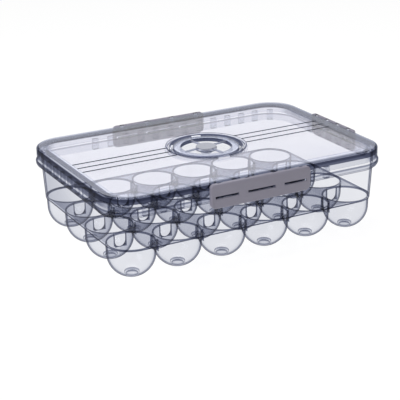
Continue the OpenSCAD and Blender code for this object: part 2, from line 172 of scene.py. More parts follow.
def depth_group() -> Tree:
    """Builds the group that darkens clear plastic where the eye looks along it.

    Returns:
        A group with the inputs Facing, Upright, Level, Power, Gain, Extra, Thin Colour and
        Deep Colour, and the output Colour.
    """
    tree = bpy.data.node_groups.new("clear_depth", "ShaderNodeTree")
    add_sockets(tree, "INPUT", [
        ("Facing", "NodeSocketFloat"), ("Upright", "NodeSocketFloat", 1.0),
        ("Level", "NodeSocketFloat", 0.5), ("Power", "NodeSocketFloat", 3.0),
        ("Gain", "NodeSocketFloat", 1.0), ("Extra", "NodeSocketFloat", 0.0),
        ("Thin Colour", "NodeSocketColor"), ("Deep Colour", "NodeSocketColor")])
    add_sockets(tree, "OUTPUT", [("Colour", "NodeSocketColor")])
    graph = Graph(tree)
    ins = graph.node("NodeGroupInput").outputs
    outs = graph.node("NodeGroupOutput")
    rise = graph.math("MULTIPLY", graph.math("POWER", ins["Facing"], ins["Power"]), ins["Gain"])
    share = graph.math("MULTIPLY", ins["Upright"], graph.math("SUBTRACT", 1.0, ins["Level"]))
    rise = graph.math("MULTIPLY", rise, graph.math("ADD", share, ins["Level"]))
    rise = graph.math("ADD", rise, ins["Extra"], clamp=True)
    thin = graph.node("ShaderNodeGamma", None, {0: ins["Thin Colour"], 1: graph.math("SUBTRACT", 1.0, rise)})
    deep = graph.node("ShaderNodeGamma", None, {0: ins["Deep Colour"], 1: rise})
    colour = graph.node("ShaderNodeMix", {"data_type": "RGBA", "blend_type": "MULTIPLY"}, {
        0: 1.0, 6: thin.outputs[0], 7: deep.outputs[0]})
    tree.links.new(colour.outputs[2], outs.inputs["Colour"])
    return tree


def grain_group() -> Tree:
    """Builds the group that gives moulded plastic its flow marks and fine grain.

    Returns:
        A group with the inputs Vector, Flow Scale and Grain Scale, and the outputs Flow and Grain.
    """
    tree = bpy.data.node_groups.new("moulded_grain", "ShaderNodeTree")
    add_sockets(tree, "INPUT", [
        ("Vector", "NodeSocketVector"), ("Flow Scale", "NodeSocketFloat", 14.0),
        ("Grain Scale", "NodeSocketFloat", 900.0)])
    add_sockets(tree, "OUTPUT", [("Flow", "NodeSocketFloat"), ("Grain", "NodeSocketFloat")])
    graph = Graph(tree)
    ins = graph.node("NodeGroupInput").outputs
    outs = graph.node("NodeGroupOutput")
    flow = graph.node("ShaderNodeTexNoise", None, {
        "Vector": ins["Vector"], "Scale": ins["Flow Scale"], "Detail": 3.0, "Distortion": 0.6})
    grain = graph.node("ShaderNodeTexNoise", None, {
        "Vector": ins["Vector"], "Scale": ins["Grain Scale"], "Detail": 2.0})
    tree.links.new(flow.outputs[0], outs.inputs["Flow"])
    tree.links.new(grain.outputs[0], outs.inputs["Grain"])
    return tree


@dataclass
class SharedGroups:
    """The shader groups that more than one finish uses."""

    depth: Tree = field(default_factory=depth_group)
    grain: Tree = field(default_factory=grain_group)


def new_material(name: str) -> tuple[Material, Graph, Node]:
    """Starts a material.

    Args:
        name: The material's name.

    Returns:
        The material, its graph and its Principled shader.
    """
    material = bpy.data.materials.new(name)
    material.use_nodes = True
    graph = Graph(material.node_tree)
    shader = material.node_tree.nodes["Principled BSDF"]
    return material, graph, shader


@dataclass(frozen=True)
class ClearPlastic:
    """Clear smoky plastic that is pale face on and dark along its edges."""

    name: str
    thin: Colour = (0.9, 0.905, 0.925)
    deep: Colour = (0.018, 0.022, 0.046)
    level: float = 0.9
    power: float = 7.0
    gain: float = 3.0
    roughness: float = 0.0
    clear: float = 1.0
    ior: float = 1.0
    gloss: float = 0.15
    gloss_roughness: float = 0.04
    shade: float = 0.3
    mottle: float = 0.05
    mottle_scale: float = 14.0

    def build(self, groups: SharedGroups) -> Material:
        """Makes the material: the light that passes is tinted by the plastic's depth.

        Args:
            groups: The shader groups that it places.

        Returns:
            The material.
        """
        material, graph, shader = new_material(self.name)
        links = material.node_tree.links
        place = graph.node("ShaderNodeTexCoord").outputs["Object"]
        grain = graph.node("ShaderNodeGroup", {"node_tree": groups.grain}, {
            "Vector": place, "Flow Scale": self.mottle_scale})
        facing = graph.node("ShaderNodeLayerWeight", None, {"Blend": 0.5}).outputs["Facing"]
        geometry = graph.node("ShaderNodeNewGeometry").outputs
        up = graph.node("ShaderNodeSeparateXYZ", None, {0: geometry["Normal"]}).outputs[2]
        upright = graph.math("SUBTRACT", 1.0, graph.math("ABSOLUTE", up))
        flow = graph.math("MULTIPLY", graph.math("SUBTRACT", grain.outputs["Flow"], 0.5), self.mottle)
        marked, inward = (graph.node("ShaderNodeAttribute", {"attribute_name": name}).outputs["Fac"]
                          for name in (DEEP, INWARD))
        inward = graph.math("MULTIPLY", inward, graph.math("SUBTRACT", 1.0, geometry["Backfacing"]))
        marked = graph.math("ADD", marked, inward)
        depth = graph.node("ShaderNodeGroup", {"node_tree": groups.depth}, {
            "Facing": facing, "Upright": upright, "Level": self.level, "Power": self.power,
            "Gain": self.gain, "Extra": graph.math("ADD", flow, marked),
            "Thin Colour": (*self.thin, 1.0), "Deep Colour": (*self.deep, 1.0)})
        links.new(depth.outputs["Colour"], shader.inputs["Base Color"])
        shadow = graph.node("ShaderNodeLightPath").outputs["Is Shadow Ray"]
        seen = graph.math("SUBTRACT", 1.0, graph.math("MULTIPLY", shadow, 1.0 - self.shade))
        links.new(seen, shader.inputs["Alpha"])
        for key, value in (("Roughness", self.roughness), ("Transmission Weight", self.clear),
                           ("IOR", self.ior), ("Coat Weight", self.gloss),
                           ("Coat Roughness", self.gloss_roughness)):
            shader.inputs[key].default_value = value
        return material


@dataclass(frozen=True)
class SolidPlastic:
    """Opaque moulded plastic with a fine grain."""

    name: str
    colour: Colour
    shade: Colour
    roughness: float = 0.42
    spread: float = 0.12
    bump: float = 0.12
    bump_height: float = 0.0002

    def build(self, groups: SharedGroups) -> Material:
        """Makes the material: two near tones over the flow marks and a grain in roughness and bump.

        Args:
            groups: The shader groups that it places.

        Returns:
            The material.
        """
        material, graph, shader = new_material(self.name)
        links = material.node_tree.links
        place = graph.node("ShaderNodeTexCoord").outputs["Object"]
        grain = graph.node("ShaderNodeGroup", {"node_tree": groups.grain}, {"Vector": place})
        tone = graph.blend(grain.outputs["Flow"], (*self.colour, 1.0), (*self.shade, 1.0))
        links.new(tone, shader.inputs["Base Color"])
        rough = graph.math("MULTIPLY", grain.outputs["Grain"], self.spread)
        rough = graph.math("ADD", self.roughness - self.spread / 2, rough)
        links.new(rough, shader.inputs["Roughness"])
        bump = graph.node("ShaderNodeBump", None, {
            "Strength": self.bump, "Distance": self.bump_height, "Height": grain.outputs["Grain"]})
        links.new(bump.outputs[0], shader.inputs["Normal"])
        return material


@dataclass
class Finishes:
    """Every finish of the object, made once."""

    groups: SharedGroups = field(default_factory=SharedGroups)

    def __post_init__(self) -> None:
        """Makes the materials."""
        groups = self.groups
        veil = {"level": 1.0, "power": 1.6, "gain": 1.0}
        dial = {"level": 0.15, "power": 6.0, "gain": 1.2}
        pale = (0.97, 0.97, 0.98)
        self.tray = ClearPlastic("smoky_tray").build(groups)
        self.panel = ClearPlastic(
            "clear_panel", thin=(0.85, 0.84, 0.855), deep=(0.68, 0.69, 0.77), clear=0.86,
            **veil).build(groups)
        self.rim_top = ClearPlastic(
            "pale_rim_top", thin=(0.73, 0.76, 0.86), deep=(0.55, 0.57, 0.67), clear=0.74,
            **veil).build(groups)
        self.rim = ClearPlastic("smoky_rim", level=0.25, power=2.4, gain=1.0).build(groups)
        self.rib = ClearPlastic("ribbed_guide", mottle=0.5, mottle_scale=420.0).build(groups)
        self.rail = ClearPlastic(
            "pale_rail", deep=(0.5, 0.51, 0.56), power=2.0, gain=1.0, clear=0.7).build(groups)
        self.seal = ClearPlastic(
            "soft_seal", thin=(0.93, 0.935, 0.96), level=0.3, power=6.0, gain=1.0).build(groups)
        self.dial = ClearPlastic("smoky_dial", thin=pale, **dial).build(groups)
        self.wheel = ClearPlastic("pale_wheel", thin=(0.66, 0.68, 0.76), clear=0.75, **dial).build(groups)
        self.lug = ClearPlastic("pale_lug", thin=pale, level=0.1, clear=0.3).build(groups)
        self.clip = SolidPlastic("grey_clip", (0.205, 0.195, 0.245), (0.18, 0.17, 0.215)).build(groups)
        self.knob = SolidPlastic(
            "pale_knob", (0.36, 0.37, 0.42), (0.31, 0.32, 0.37), roughness=0.3).build(groups)
        self.mark = SolidPlastic("dark_mark", (0.05, 0.055, 0.09), (0.04, 0.045, 0.08)).build(groups)


# Meshes


def arc(radius: float, start: float, end: float, steps: int, middle: Point2 = (0.0, 0.0)) -> list[Point2]:
    """Gives the points of an arc, both ends too.

    Args:
        radius: The arc's radius.
        start: The angle of its first point, in degrees.
        end: The angle of its last point, in degrees.
        steps: Steps along it.
        middle: Its centre.

    Returns:
        The points in order.
    """
    turns = [math.radians(start + (end - start) * i / steps) for i in range(steps + 1)]
    return [(middle[0] + radius * math.cos(a), middle[1] + radius * math.sin(a)) for a in turns]


def circle(radius: float, steps: int, middle: Point2 = (0.0, 0.0)) -> list[Point2]:
    """Gives the points of a whole circle in order."""
    return arc(radius, 0.0, 360.0, steps, middle)[:-1]


def turned(points: Iterable[Sequence[float]], degrees: float) -> list[Sequence[float]]:
    """Turns points of two or three values about the Z axis."""
    cos, sin = math.cos(math.radians(degrees)), math.sin(math.radians(degrees))
    return [(x * cos - y * sin, x * sin + y * cos, *rest) for x, y, *rest in points]


def fillet(points: Sequence[Point2], radii: Sequence[float] | float, steps: int = 4) -> list[Point2]:
    """Rounds the corners of a closed outline.

    Args:
        points: The outline's corners in order.
        radii: One radius for each corner, or one for all; 0 leaves a corner sharp.
        steps: Steps along each rounding.

    Returns:
        The outline with its corners rounded.
    """
    straight, most = 0.01, 0.49
    count = len(points)
    sizes = [float(radii)] * count if isinstance(radii, (int, float)) else list(radii)
    made: list[Point2] = []
    for index, corner in enumerate(points):
        here = Vector(corner)
        before = Vector(points[index - 1]) - here
        after = Vector(points[(index + 1) % count]) - here
        turn = before.angle(after, math.pi)
        if sizes[index] <= 0 or turn > math.pi - straight:
            made.append((here.x, here.y))
            continue
        reach = min(sizes[index] / math.tan(turn / 2), before.length * most, after.length * most)
        radius = reach * math.tan(turn / 2)
        inwards = (before.normalized() + after.normalized()).normalized()
        centre = here + inwards * radius / math.sin(turn / 2)
        first = here + before.normalized() * reach - centre
        last = here + after.normalized() * reach - centre
        sweep = first.angle_signed(last)
        for step in range(steps + 1):
            arm = first.copy()
            arm.rotate(Matrix.Rotation(-sweep * step / steps, 2))
            made.append((centre.x + arm.x, centre.y + arm.y))
    return made


def oblong(left: float, low: float, right: float, high: float, radii: Sequence[float] | float = 0.0,
           steps: int = 4) -> list[Point2]:
    """Gives a rectangle with rounded corners.

    Args:
        left: Its least X.
        low: Its least Y.
        right: Its largest X.
        high: Its largest Y.
        radii: The roundings from the lower left corner on, or one for all.
        steps: Steps along each rounding.

    Returns:
        The outline.
    """
    return fillet([(left, low), (right, low), (right, high), (left, high)], radii, steps)


def wall_end(outer: float, inner: float, height: float, rise: float, inset: float = 0.4) -> list[Point2]:
    """Gives the end of a wall with broken edges.

    Args:
        outer: The distance of the wall's outer side.
        inner: The distance of its inner side.
        height: The end's height.
        rise: How far the sides' ends lie over that height, below 0 where the end looks up.
        inset: The edges' width on the end.

    Returns:
        The end's four points, from the outer side inwards.
    """
    return [(outer, height + rise), (outer - inset, height), (inner + inset, height), (inner, height + rise)]


@dataclass(frozen=True)
class Outline:
    """Rounded outline of the box: the centres of the corner cups carry its corners."""

    span_x: float = 125.0
    span_y: float = 75.0
    steps: int = 20
    long_clip: float = 113.0
    short_clip: float = 81.0

    def stations(self) -> list[tuple[float, float, float]]:
        """Gives the corner stations: centre x, centre y and the direction outwards.

        Returns:
            The stations in order.
        """
        made = []
        signs = ((1, 1), (-1, 1), (-1, -1), (1, -1))
        for quarter, (sx, sy) in enumerate(signs):
            for step in range(self.steps + 1):
                angle = math.radians(90) * (quarter + step / self.steps)
                made.append((sx * self.span_x, sy * self.span_y, angle))
        return made

    def loop(self, distance: float) -> list[Point2]:
        """Gives the closed outline at a distance outside the corner centres."""
        return [(x + distance * math.cos(a), y + distance * math.sin(a)) for x, y, a in self.stations()]

    def distance(self, place: Vector) -> float:
        """Gives how far a place lies outside the corner centres, seen from above."""
        return math.hypot(max(abs(place.x) - self.span_x, 0.0), max(abs(place.y) - self.span_y, 0.0))

    def clip_sides(self) -> list[tuple[float, float, float]]:
        """Gives the sides with a clip: distance to the corner centres, clip length, turn from the front."""
        return [(self.span_y, self.long_clip, 0.0), (self.span_y, self.long_clip, 180.0),
                (self.span_x, self.short_clip, 90.0)]


def add_object(name: str, data: bpy.types.ID) -> Piece:
    """Adds an object to the scene.

    Args:
        name: The object's name.
        data: Its data.

    Returns:
        The mesh object.
    """
    made = bpy.data.objects.new(name, data)
    bpy.context.scene.collection.objects.link(made)
    return made


def evaluated_mesh(piece: Piece) -> bpy.types.Mesh:
    """Gives the mesh that an object's modifiers make.

    Args:
        piece: The object.

    Returns:
        The new mesh.
    """
    bpy.context.view_layer.update()
    evaluated = piece.evaluated_get(bpy.context.evaluated_depsgraph_get())
    return bpy.data.meshes.new_from_object(evaluated)


class Skin:
    """Collects closed shells, in millimetres, and turns them into one mesh object."""

    def __init__(self, name: str) -> None:
        """Starts empty.

        Args:
            name: The object's name.
        """
        self.name = name
        self.points: list[Point3] = []
        self.faces: list[Sequence[int]] = []
        self.marks: list[int] = []

    def add(self, points: Iterable[Point3], faces: Iterable[Sequence[int]],
            marks: int | Sequence[int] = 0) -> None:
        """Adds points and faces.

        Args:
            points: The new points.
            faces: Faces that count the new points from 0.
            marks: The material's number, for all faces or one for each.
        """
        base = len(self.points)
        faces = list(faces)
        self.points.extend(points)
        self.faces.extend([base + i for i in face] for face in faces)
        self.marks.extend([marks] * len(faces) if isinstance(marks, int) else marks)

    def sweep(self, rows: Sequence[Sequence[Point3]], marks: Sequence[int] | int = 0,
              closed: bool = True) -> None:
        """Joins each row of points to the next and the last one to the first.

        Args:
            rows: The rows, with as many points each.
            marks: The material's number for each side of a row, or one for all.
            closed: Whether a row's last point joins its first.
        """
        size, count = len(rows[0]), len(rows)
        faces, face_marks = [], []
        for i, row in enumerate(rows):
            n = (i + 1) % count
            for j in range(size if closed else size - 1):
                k = (j + 1) % size
                if row[j] == rows[n][j] and row[k] == rows[n][k]:
                    continue
                faces.append((i * size + j, n * size + j, n * size + k, i * size + k))
                face_marks.append(marks if isinstance(marks, int) else marks[j])
        self.add([point for row in rows for point in row], faces, face_marks)

    def ring(self, section: Sequence[Point2], outline: Outline, marks: Sequence[int] | int = 0,
             closed: bool = True) -> None:
        """Carries a section round the outline.

        Args:
            section: Points of distance outside the corner centres and height.
            outline: The outline to follow.
            marks: The material's number for each side of the section, or one for all.
            closed: Whether the section's last point joins its first.
        """
        rows = [[(x + d * math.cos(a), y + d * math.sin(a), z) for d, z in section]
                for x, y, a in outline.stations()]
        self.sweep(rows, marks, closed)

    def lathe(self, profile: Sequence[Point2], steps: int = 96, closed: bool = True) -> None:
        """Turns a profile round the Z axis.

        Args:
            profile: Points of radius and height.
            steps: Steps round the axis.
            closed: Whether the profile's last point joins its first.
        """
        self.sweep([[(r * x, r * y, z) for r, z in profile] for x, y in circle(1.0, steps)], closed=closed)

    def slab(self, first: Sequence[Point3], last: Sequence[Point3]) -> None:
        """Closes the space between two loops with as many points each.

        Args:
            first: The first loop.
            last: The last loop.
        """
        size = len(first)
        faces: list[Sequence[int]] = [range(size)[::-1], range(size, 2 * size)]
        faces += [(i, (i + 1) % size, size + (i + 1) % size, size + i) for i in range(size)]
        self.add([*first, *last], faces)

    def prism(self, loop: Sequence[Point2], low: float, high: float) -> None:
        """Raises a closed loop between two heights."""
        self.slab([(x, y, low) for x, y in loop], [(x, y, high) for x, y in loop])

    def bead(self, section: Sequence[Point2], low: float, high: float) -> None:
        """Carries a closed section of Y and Z along X between two places."""
        self.slab([(low, y, z) for y, z in section], [(high, y, z) for y, z in section])

    def mesh_object(self, materials: Sequence[Material] = (), sharp: float = 32.0) -> Piece:
        """Makes the mesh object in metres.

        Args:
            materials: The materials, in the order of the marks.
            sharp: Edges that bend by more degrees stay sharp.

        Returns:
            The object, at the origin.
        """
        mesh = bpy.data.meshes.new(self.name)
        mesh.from_pydata([(x * MM, y * MM, z * MM) for x, y, z in self.points], [], self.faces)
        for material in materials:
            mesh.materials.append(material)
        mesh.polygons.foreach_set("material_index", self.marks)
        made = add_object(self.name, mesh)
        tidy(made, sharp)
        return made


def tidy(piece: Piece, sharp: float = 32.0) -> None:
    """Merges doubles, turns the faces outwards and shades a piece smooth up to an angle.

    Args:
        piece: The mesh object.
        sharp: Edges that bend by more degrees stay sharp.
    """
    work = bmesh.new()
    work.from_mesh(piece.data)
    bmesh.ops.remove_doubles(work, verts=work.verts, dist=MERGE)
    bmesh.ops.dissolve_degenerate(work, edges=work.edges, dist=MERGE)
    bmesh.ops.recalc_face_normals(work, faces=work.faces)
    limit = math.radians(sharp)
    for edge in work.edges:
        edge.smooth = len(edge.link_faces) == 2 and edge.calc_face_angle(0.0) < limit
    for face in work.faces:
        face.smooth = True
    work.to_mesh(piece.data)
    work.free()
    piece.data.update()


def mark_depth(piece: Piece, rule: Callable[[Vector, Vector], float], name: str = DEEP) -> None:
    """Writes on each face how deep the eye looks into the plastic there.

    Args:
        piece: The mesh object.
        rule: Gives the depth from a face's centre in millimetres and its normal; 0 changes nothing.
        name: DEEP, or INWARD for a depth that only shows from the side that the face looks to.
    """
    mesh = piece.data
    layer = mesh.attributes.new(name, "FLOAT", "FACE")
    layer.data.foreach_set("value", [rule(face.center / MM, face.normal) for face in mesh.polygons])


def drop(*pieces: Piece) -> None:
    """Removes helper objects and their meshes.

    Args:
        pieces: The objects.
    """
    for piece in pieces:
        mesh = piece.data
        bpy.data.objects.remove(piece)
        bpy.data.meshes.remove(mesh)


def grow(tree: Tree, name: str, values: dict[str, object]) -> Piece:
    """Runs a geometry tree and keeps its result as a plain mesh.

    Args:
        tree: The geometry tree.
        name: The new object's name.
        values: The tree's inputs by name.

    Returns:
        The mesh object, with no modifier.
    """
    seed = add_object(name + "_seed", bpy.data.meshes.new(name + "_seed"))
    modifier = seed.modifiers.new("grow", "NODES")
    modifier.node_group = tree
    for item in tree.interface.items_tree:
        if item.item_type == "SOCKET" and item.in_out == "INPUT" and item.name in values:
            modifier[item.identifier] = values[item.name]
    mesh = evaluated_mesh(seed)
    mesh.name = name
    drop(seed)
    made = add_object(name, mesh)
    tidy(made)
    return made


def geometry_tree(name: str, sockets: Sequence[tuple]) -> tuple[Graph, Node, Node]:
    """Starts a geometry tree.

    Args:
        name: The tree's name.
        sockets: Its inputs, as add_sockets takes them.

    Returns:
        Its graph, its input node and its output node.
    """
    tree = bpy.data.node_groups.new(name, "GeometryNodeTree")
    add_sockets(tree, "INPUT", [("Geometry", "NodeSocketGeometry"), *sockets])
    add_sockets(tree, "OUTPUT", [("Geometry", "NodeSocketGeometry")])
    graph = Graph(tree)
    return graph, graph.node("NodeGroupInput"), graph.node("NodeGroupOutput")


def close_tree(graph: Graph, outs: Node, geometry: Socket, material: Socket) -> Tree:
    """Ends a geometry tree in Realize Instances and Set Material.

    Args:
        graph: The tree's graph.
        outs: Its output node.
        geometry: What it has made.
        material: The material's socket.

    Returns:
        The finished tree.
    """
    real = graph.node("GeometryNodeRealizeInstances", None, {0: geometry})
    painted = graph.node("GeometryNodeSetMaterial", None, {
        "Geometry": real.outputs[0], "Material": material})
    graph.tree.links.new(painted.outputs[0], outs.inputs[0])
    return graph.tree


def object_mesh(graph: Graph, socket: Socket) -> Socket:
    """Reads the geometry of the object in a socket."""
    read = graph.node("GeometryNodeObjectInfo", {"transform_space": "ORIGINAL"}, {"Object": socket})
    return read.outputs["Geometry"]


def copies_on_grid(graph: Graph, piece: Socket, columns: Socket, rows: Socket, pitch: Socket,
                   turn: float = 0.0) -> Socket:
    """Places copies of a mesh on a centred grid of columns and rows.

    Args:
        graph: The tree's graph.
        piece: The mesh to copy.
        columns: Copies along X.
        rows: Copies along Y.
        pitch: The distance between neighbours, in metres.
        turn: The turn of each copy about Z, in degrees.

    Returns:
        The copies as one mesh.
    """
    wide = graph.math("MULTIPLY", graph.math("SUBTRACT", columns, 1.0), pitch)
    deep = graph.math("MULTIPLY", graph.math("SUBTRACT", rows, 1.0), pitch)
    grid = graph.node("GeometryNodeMeshGrid", None, {
        "Size X": wide, "Size Y": deep, "Vertices X": columns, "Vertices Y": rows})
    placed = graph.node("GeometryNodeInstanceOnPoints", None, {
        "Points": grid.outputs["Mesh"], "Instance": piece, "Rotation": (0.0, 0.0, math.radians(turn))})
    return graph.node("GeometryNodeRealizeInstances", None, {0: placed.outputs[0]}).outputs[0]


def boolean(graph: Graph, operation: str, first: Socket | None, others: list[Socket]) -> Socket:
    """Joins or cuts closed meshes.

    Args:
        graph: The tree's graph.
        operation: "UNION" or "DIFFERENCE".
        first: The mesh that is cut; None in a union.
        others: The meshes that are joined or cut away.

    Returns:
        The resulting mesh.
    """
    inputs: dict = {"Mesh 2": others}
    if first is not None:
        inputs["Mesh 1"] = first
    made = graph.node("GeometryNodeMeshBoolean", {"operation": operation, "solver": "MANIFOLD"}, inputs)
    return made.outputs["Mesh"]


def tray_tree() -> Tree:
    """Builds the tree that moulds the tray: cups, webs and deck, hollowed, with the wall round them.

    Returns:
        The finished tree.
    """
    graph, ins, outs = geometry_tree("cup_tray", [
        ("Columns", "NodeSocketInt", 6), ("Rows", "NodeSocketInt", 4), ("Pitch", "NodeSocketFloat", 0.05),
        ("Cup", "NodeSocketObject"), ("Hollow", "NodeSocketObject"), ("Web", "NodeSocketObject"),
        ("Deck", "NodeSocketObject"), ("Wall", "NodeSocketObject"), ("Material", "NodeSocketMaterial")])
    given = ins.outputs
    fewer_columns = graph.math("SUBTRACT", given["Columns"], 1.0)
    fewer_rows = graph.math("SUBTRACT", given["Rows"], 1.0)
    web = object_mesh(graph, given["Web"])
    pitch = given["Pitch"]
    cups, hollows = (
        copies_on_grid(graph, object_mesh(graph, given[name]), given["Columns"], given["Rows"], pitch)
        for name in ("Cup", "Hollow"))
    along = copies_on_grid(graph, web, given["Columns"], fewer_rows, pitch)
    across = copies_on_grid(graph, web, fewer_columns, given["Rows"], pitch, turn=90.0)
    body = boolean(graph, "UNION", None, [object_mesh(graph, given["Deck"]), cups, along, across])
    body = boolean(graph, "DIFFERENCE", body, [hollows])
    body = boolean(graph, "UNION", None, [body, object_mesh(graph, given["Wall"])])
    return close_tree(graph, outs, body, given["Material"])


def row_tree() -> Tree:
    """Builds the tree that sets copies of a piece at an even pitch on a straight row.

    Returns:
        The finished tree.
    """
    graph, ins, outs = geometry_tree("even_row", [
        ("Piece", "NodeSocketObject"), ("Count", "NodeSocketInt", 4), ("Start", "NodeSocketVector"),
        ("Step", "NodeSocketVector"), ("Turn", "NodeSocketFloat"), ("Material", "NodeSocketMaterial")])
    given = ins.outputs
    line = graph.node("GeometryNodeMeshLine", {"mode": "OFFSET"}, {
        "Count": given["Count"], "Start Location": given["Start"], "Offset": given["Step"]})
    turn = graph.node("ShaderNodeCombineXYZ", None, {2: given["Turn"]})
    placed = graph.node("GeometryNodeInstanceOnPoints", None, {
        "Points": line.outputs[0], "Instance": object_mesh(graph, given["Piece"]),
        "Rotation": turn.outputs[0]})
    return close_tree(graph, outs, placed.outputs[0], given["Material"])


def wreath_tree() -> Tree:
    """Builds the tree that sets copies of a piece evenly round the Z axis, each turned to face it.

    Returns:
        The finished tree.
    """
    graph, ins, outs = geometry_tree("wreath", [
        ("Piece", "NodeSocketObject"), ("Count", "NodeSocketInt", 4), ("Turn", "NodeSocketFloat"),
        ("Material", "NodeSocketMaterial")])
    given = ins.outputs
    points = graph.node("GeometryNodePoints", None, {"Count": given["Count"]})
    number = graph.node("GeometryNodeInputIndex").outputs[0]
    step = graph.math("DIVIDE", math.tau, given["Count"])
    angle = graph.math("ADD", given["Turn"], graph.math("MULTIPLY", number, step))
    turn = graph.node("ShaderNodeCombineXYZ", None, {2: angle})
    placed = graph.node("GeometryNodeInstanceOnPoints", None, {
        "Points": points.outputs[0], "Instance": object_mesh(graph, given["Piece"]),
        "Rotation": turn.outputs[0]})
    return close_tree(graph, outs, placed.outputs[0], given["Material"])


@dataclass
class Trees:
    """The geometry trees, each built once."""

    tray: Tree = field(default_factory=tray_tree)
    row: Tree = field(default_factory=row_tree)
    wreath: Tree = field(default_factory=wreath_tree)


def settle(piece: Piece, body: Body, slot: RecordSlot, *nodes: str) -> None:
    """Lets a finished piece ride on its body and stand for its nodes.

    Args:
        piece: The finished mesh object.
        body: The body that it moves with.
        slot: The record's slot of its finish; not used.
        nodes: The nodes that it stands for.
    """
    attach(piece, body.value)
    if nodes:
        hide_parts(*nodes)
    LOG.info("%s rides on %s: %d faces", piece.name, body.value, len(piece.data.polygons))


def joined(name: str, pieces: Sequence[Piece]) -> Piece:
    """Joins mesh objects that share their materials into the first one.

    Args:
        name: The joined object's name.
        pieces: The objects, of which the first stays.

    Returns:
        The joined object.
    """
    with bpy.context.temp_override(active_object=pieces[0], object=pieces[0],
                                   selected_objects=list(pieces), selected_editable_objects=list(pieces)):
        bpy.ops.object.join()
    pieces[0].name = name
    pieces[0].data.name = name
    return pieces[0]


# The container


@dataclass(frozen=True)
class TrayDepths:
    """Depth that each kind of face of the tray adds to its own; below 0 a face is clearer. The catches' depth
    is partly painted shade.
    """

    lip: float = 0.25
    gutter: float = 0.05
    wall: float = -0.12
    foot_flat: float = 0.03
    foot_hollow: float = 0.28
    foot_ring: float = 0.12
    deck: float = 0.0
    deck_edge: float = 0.5
    deck_side: float = 0.4
    mouth: float = 0.75
    wall_foot: float = 0.7
    collar: float = 0.5
    web: float = 0.85
    inside: float = -0.45
    outside: float = 0.02
    between: float = 0.12
    rib_end: float = 0.5
    rib_side: float = 0.05
    # The catches seen through the clips' slots: partly the plastic stacked there, partly painted shade for
    # the clip's shadow
    catch_shade: float = 0.8


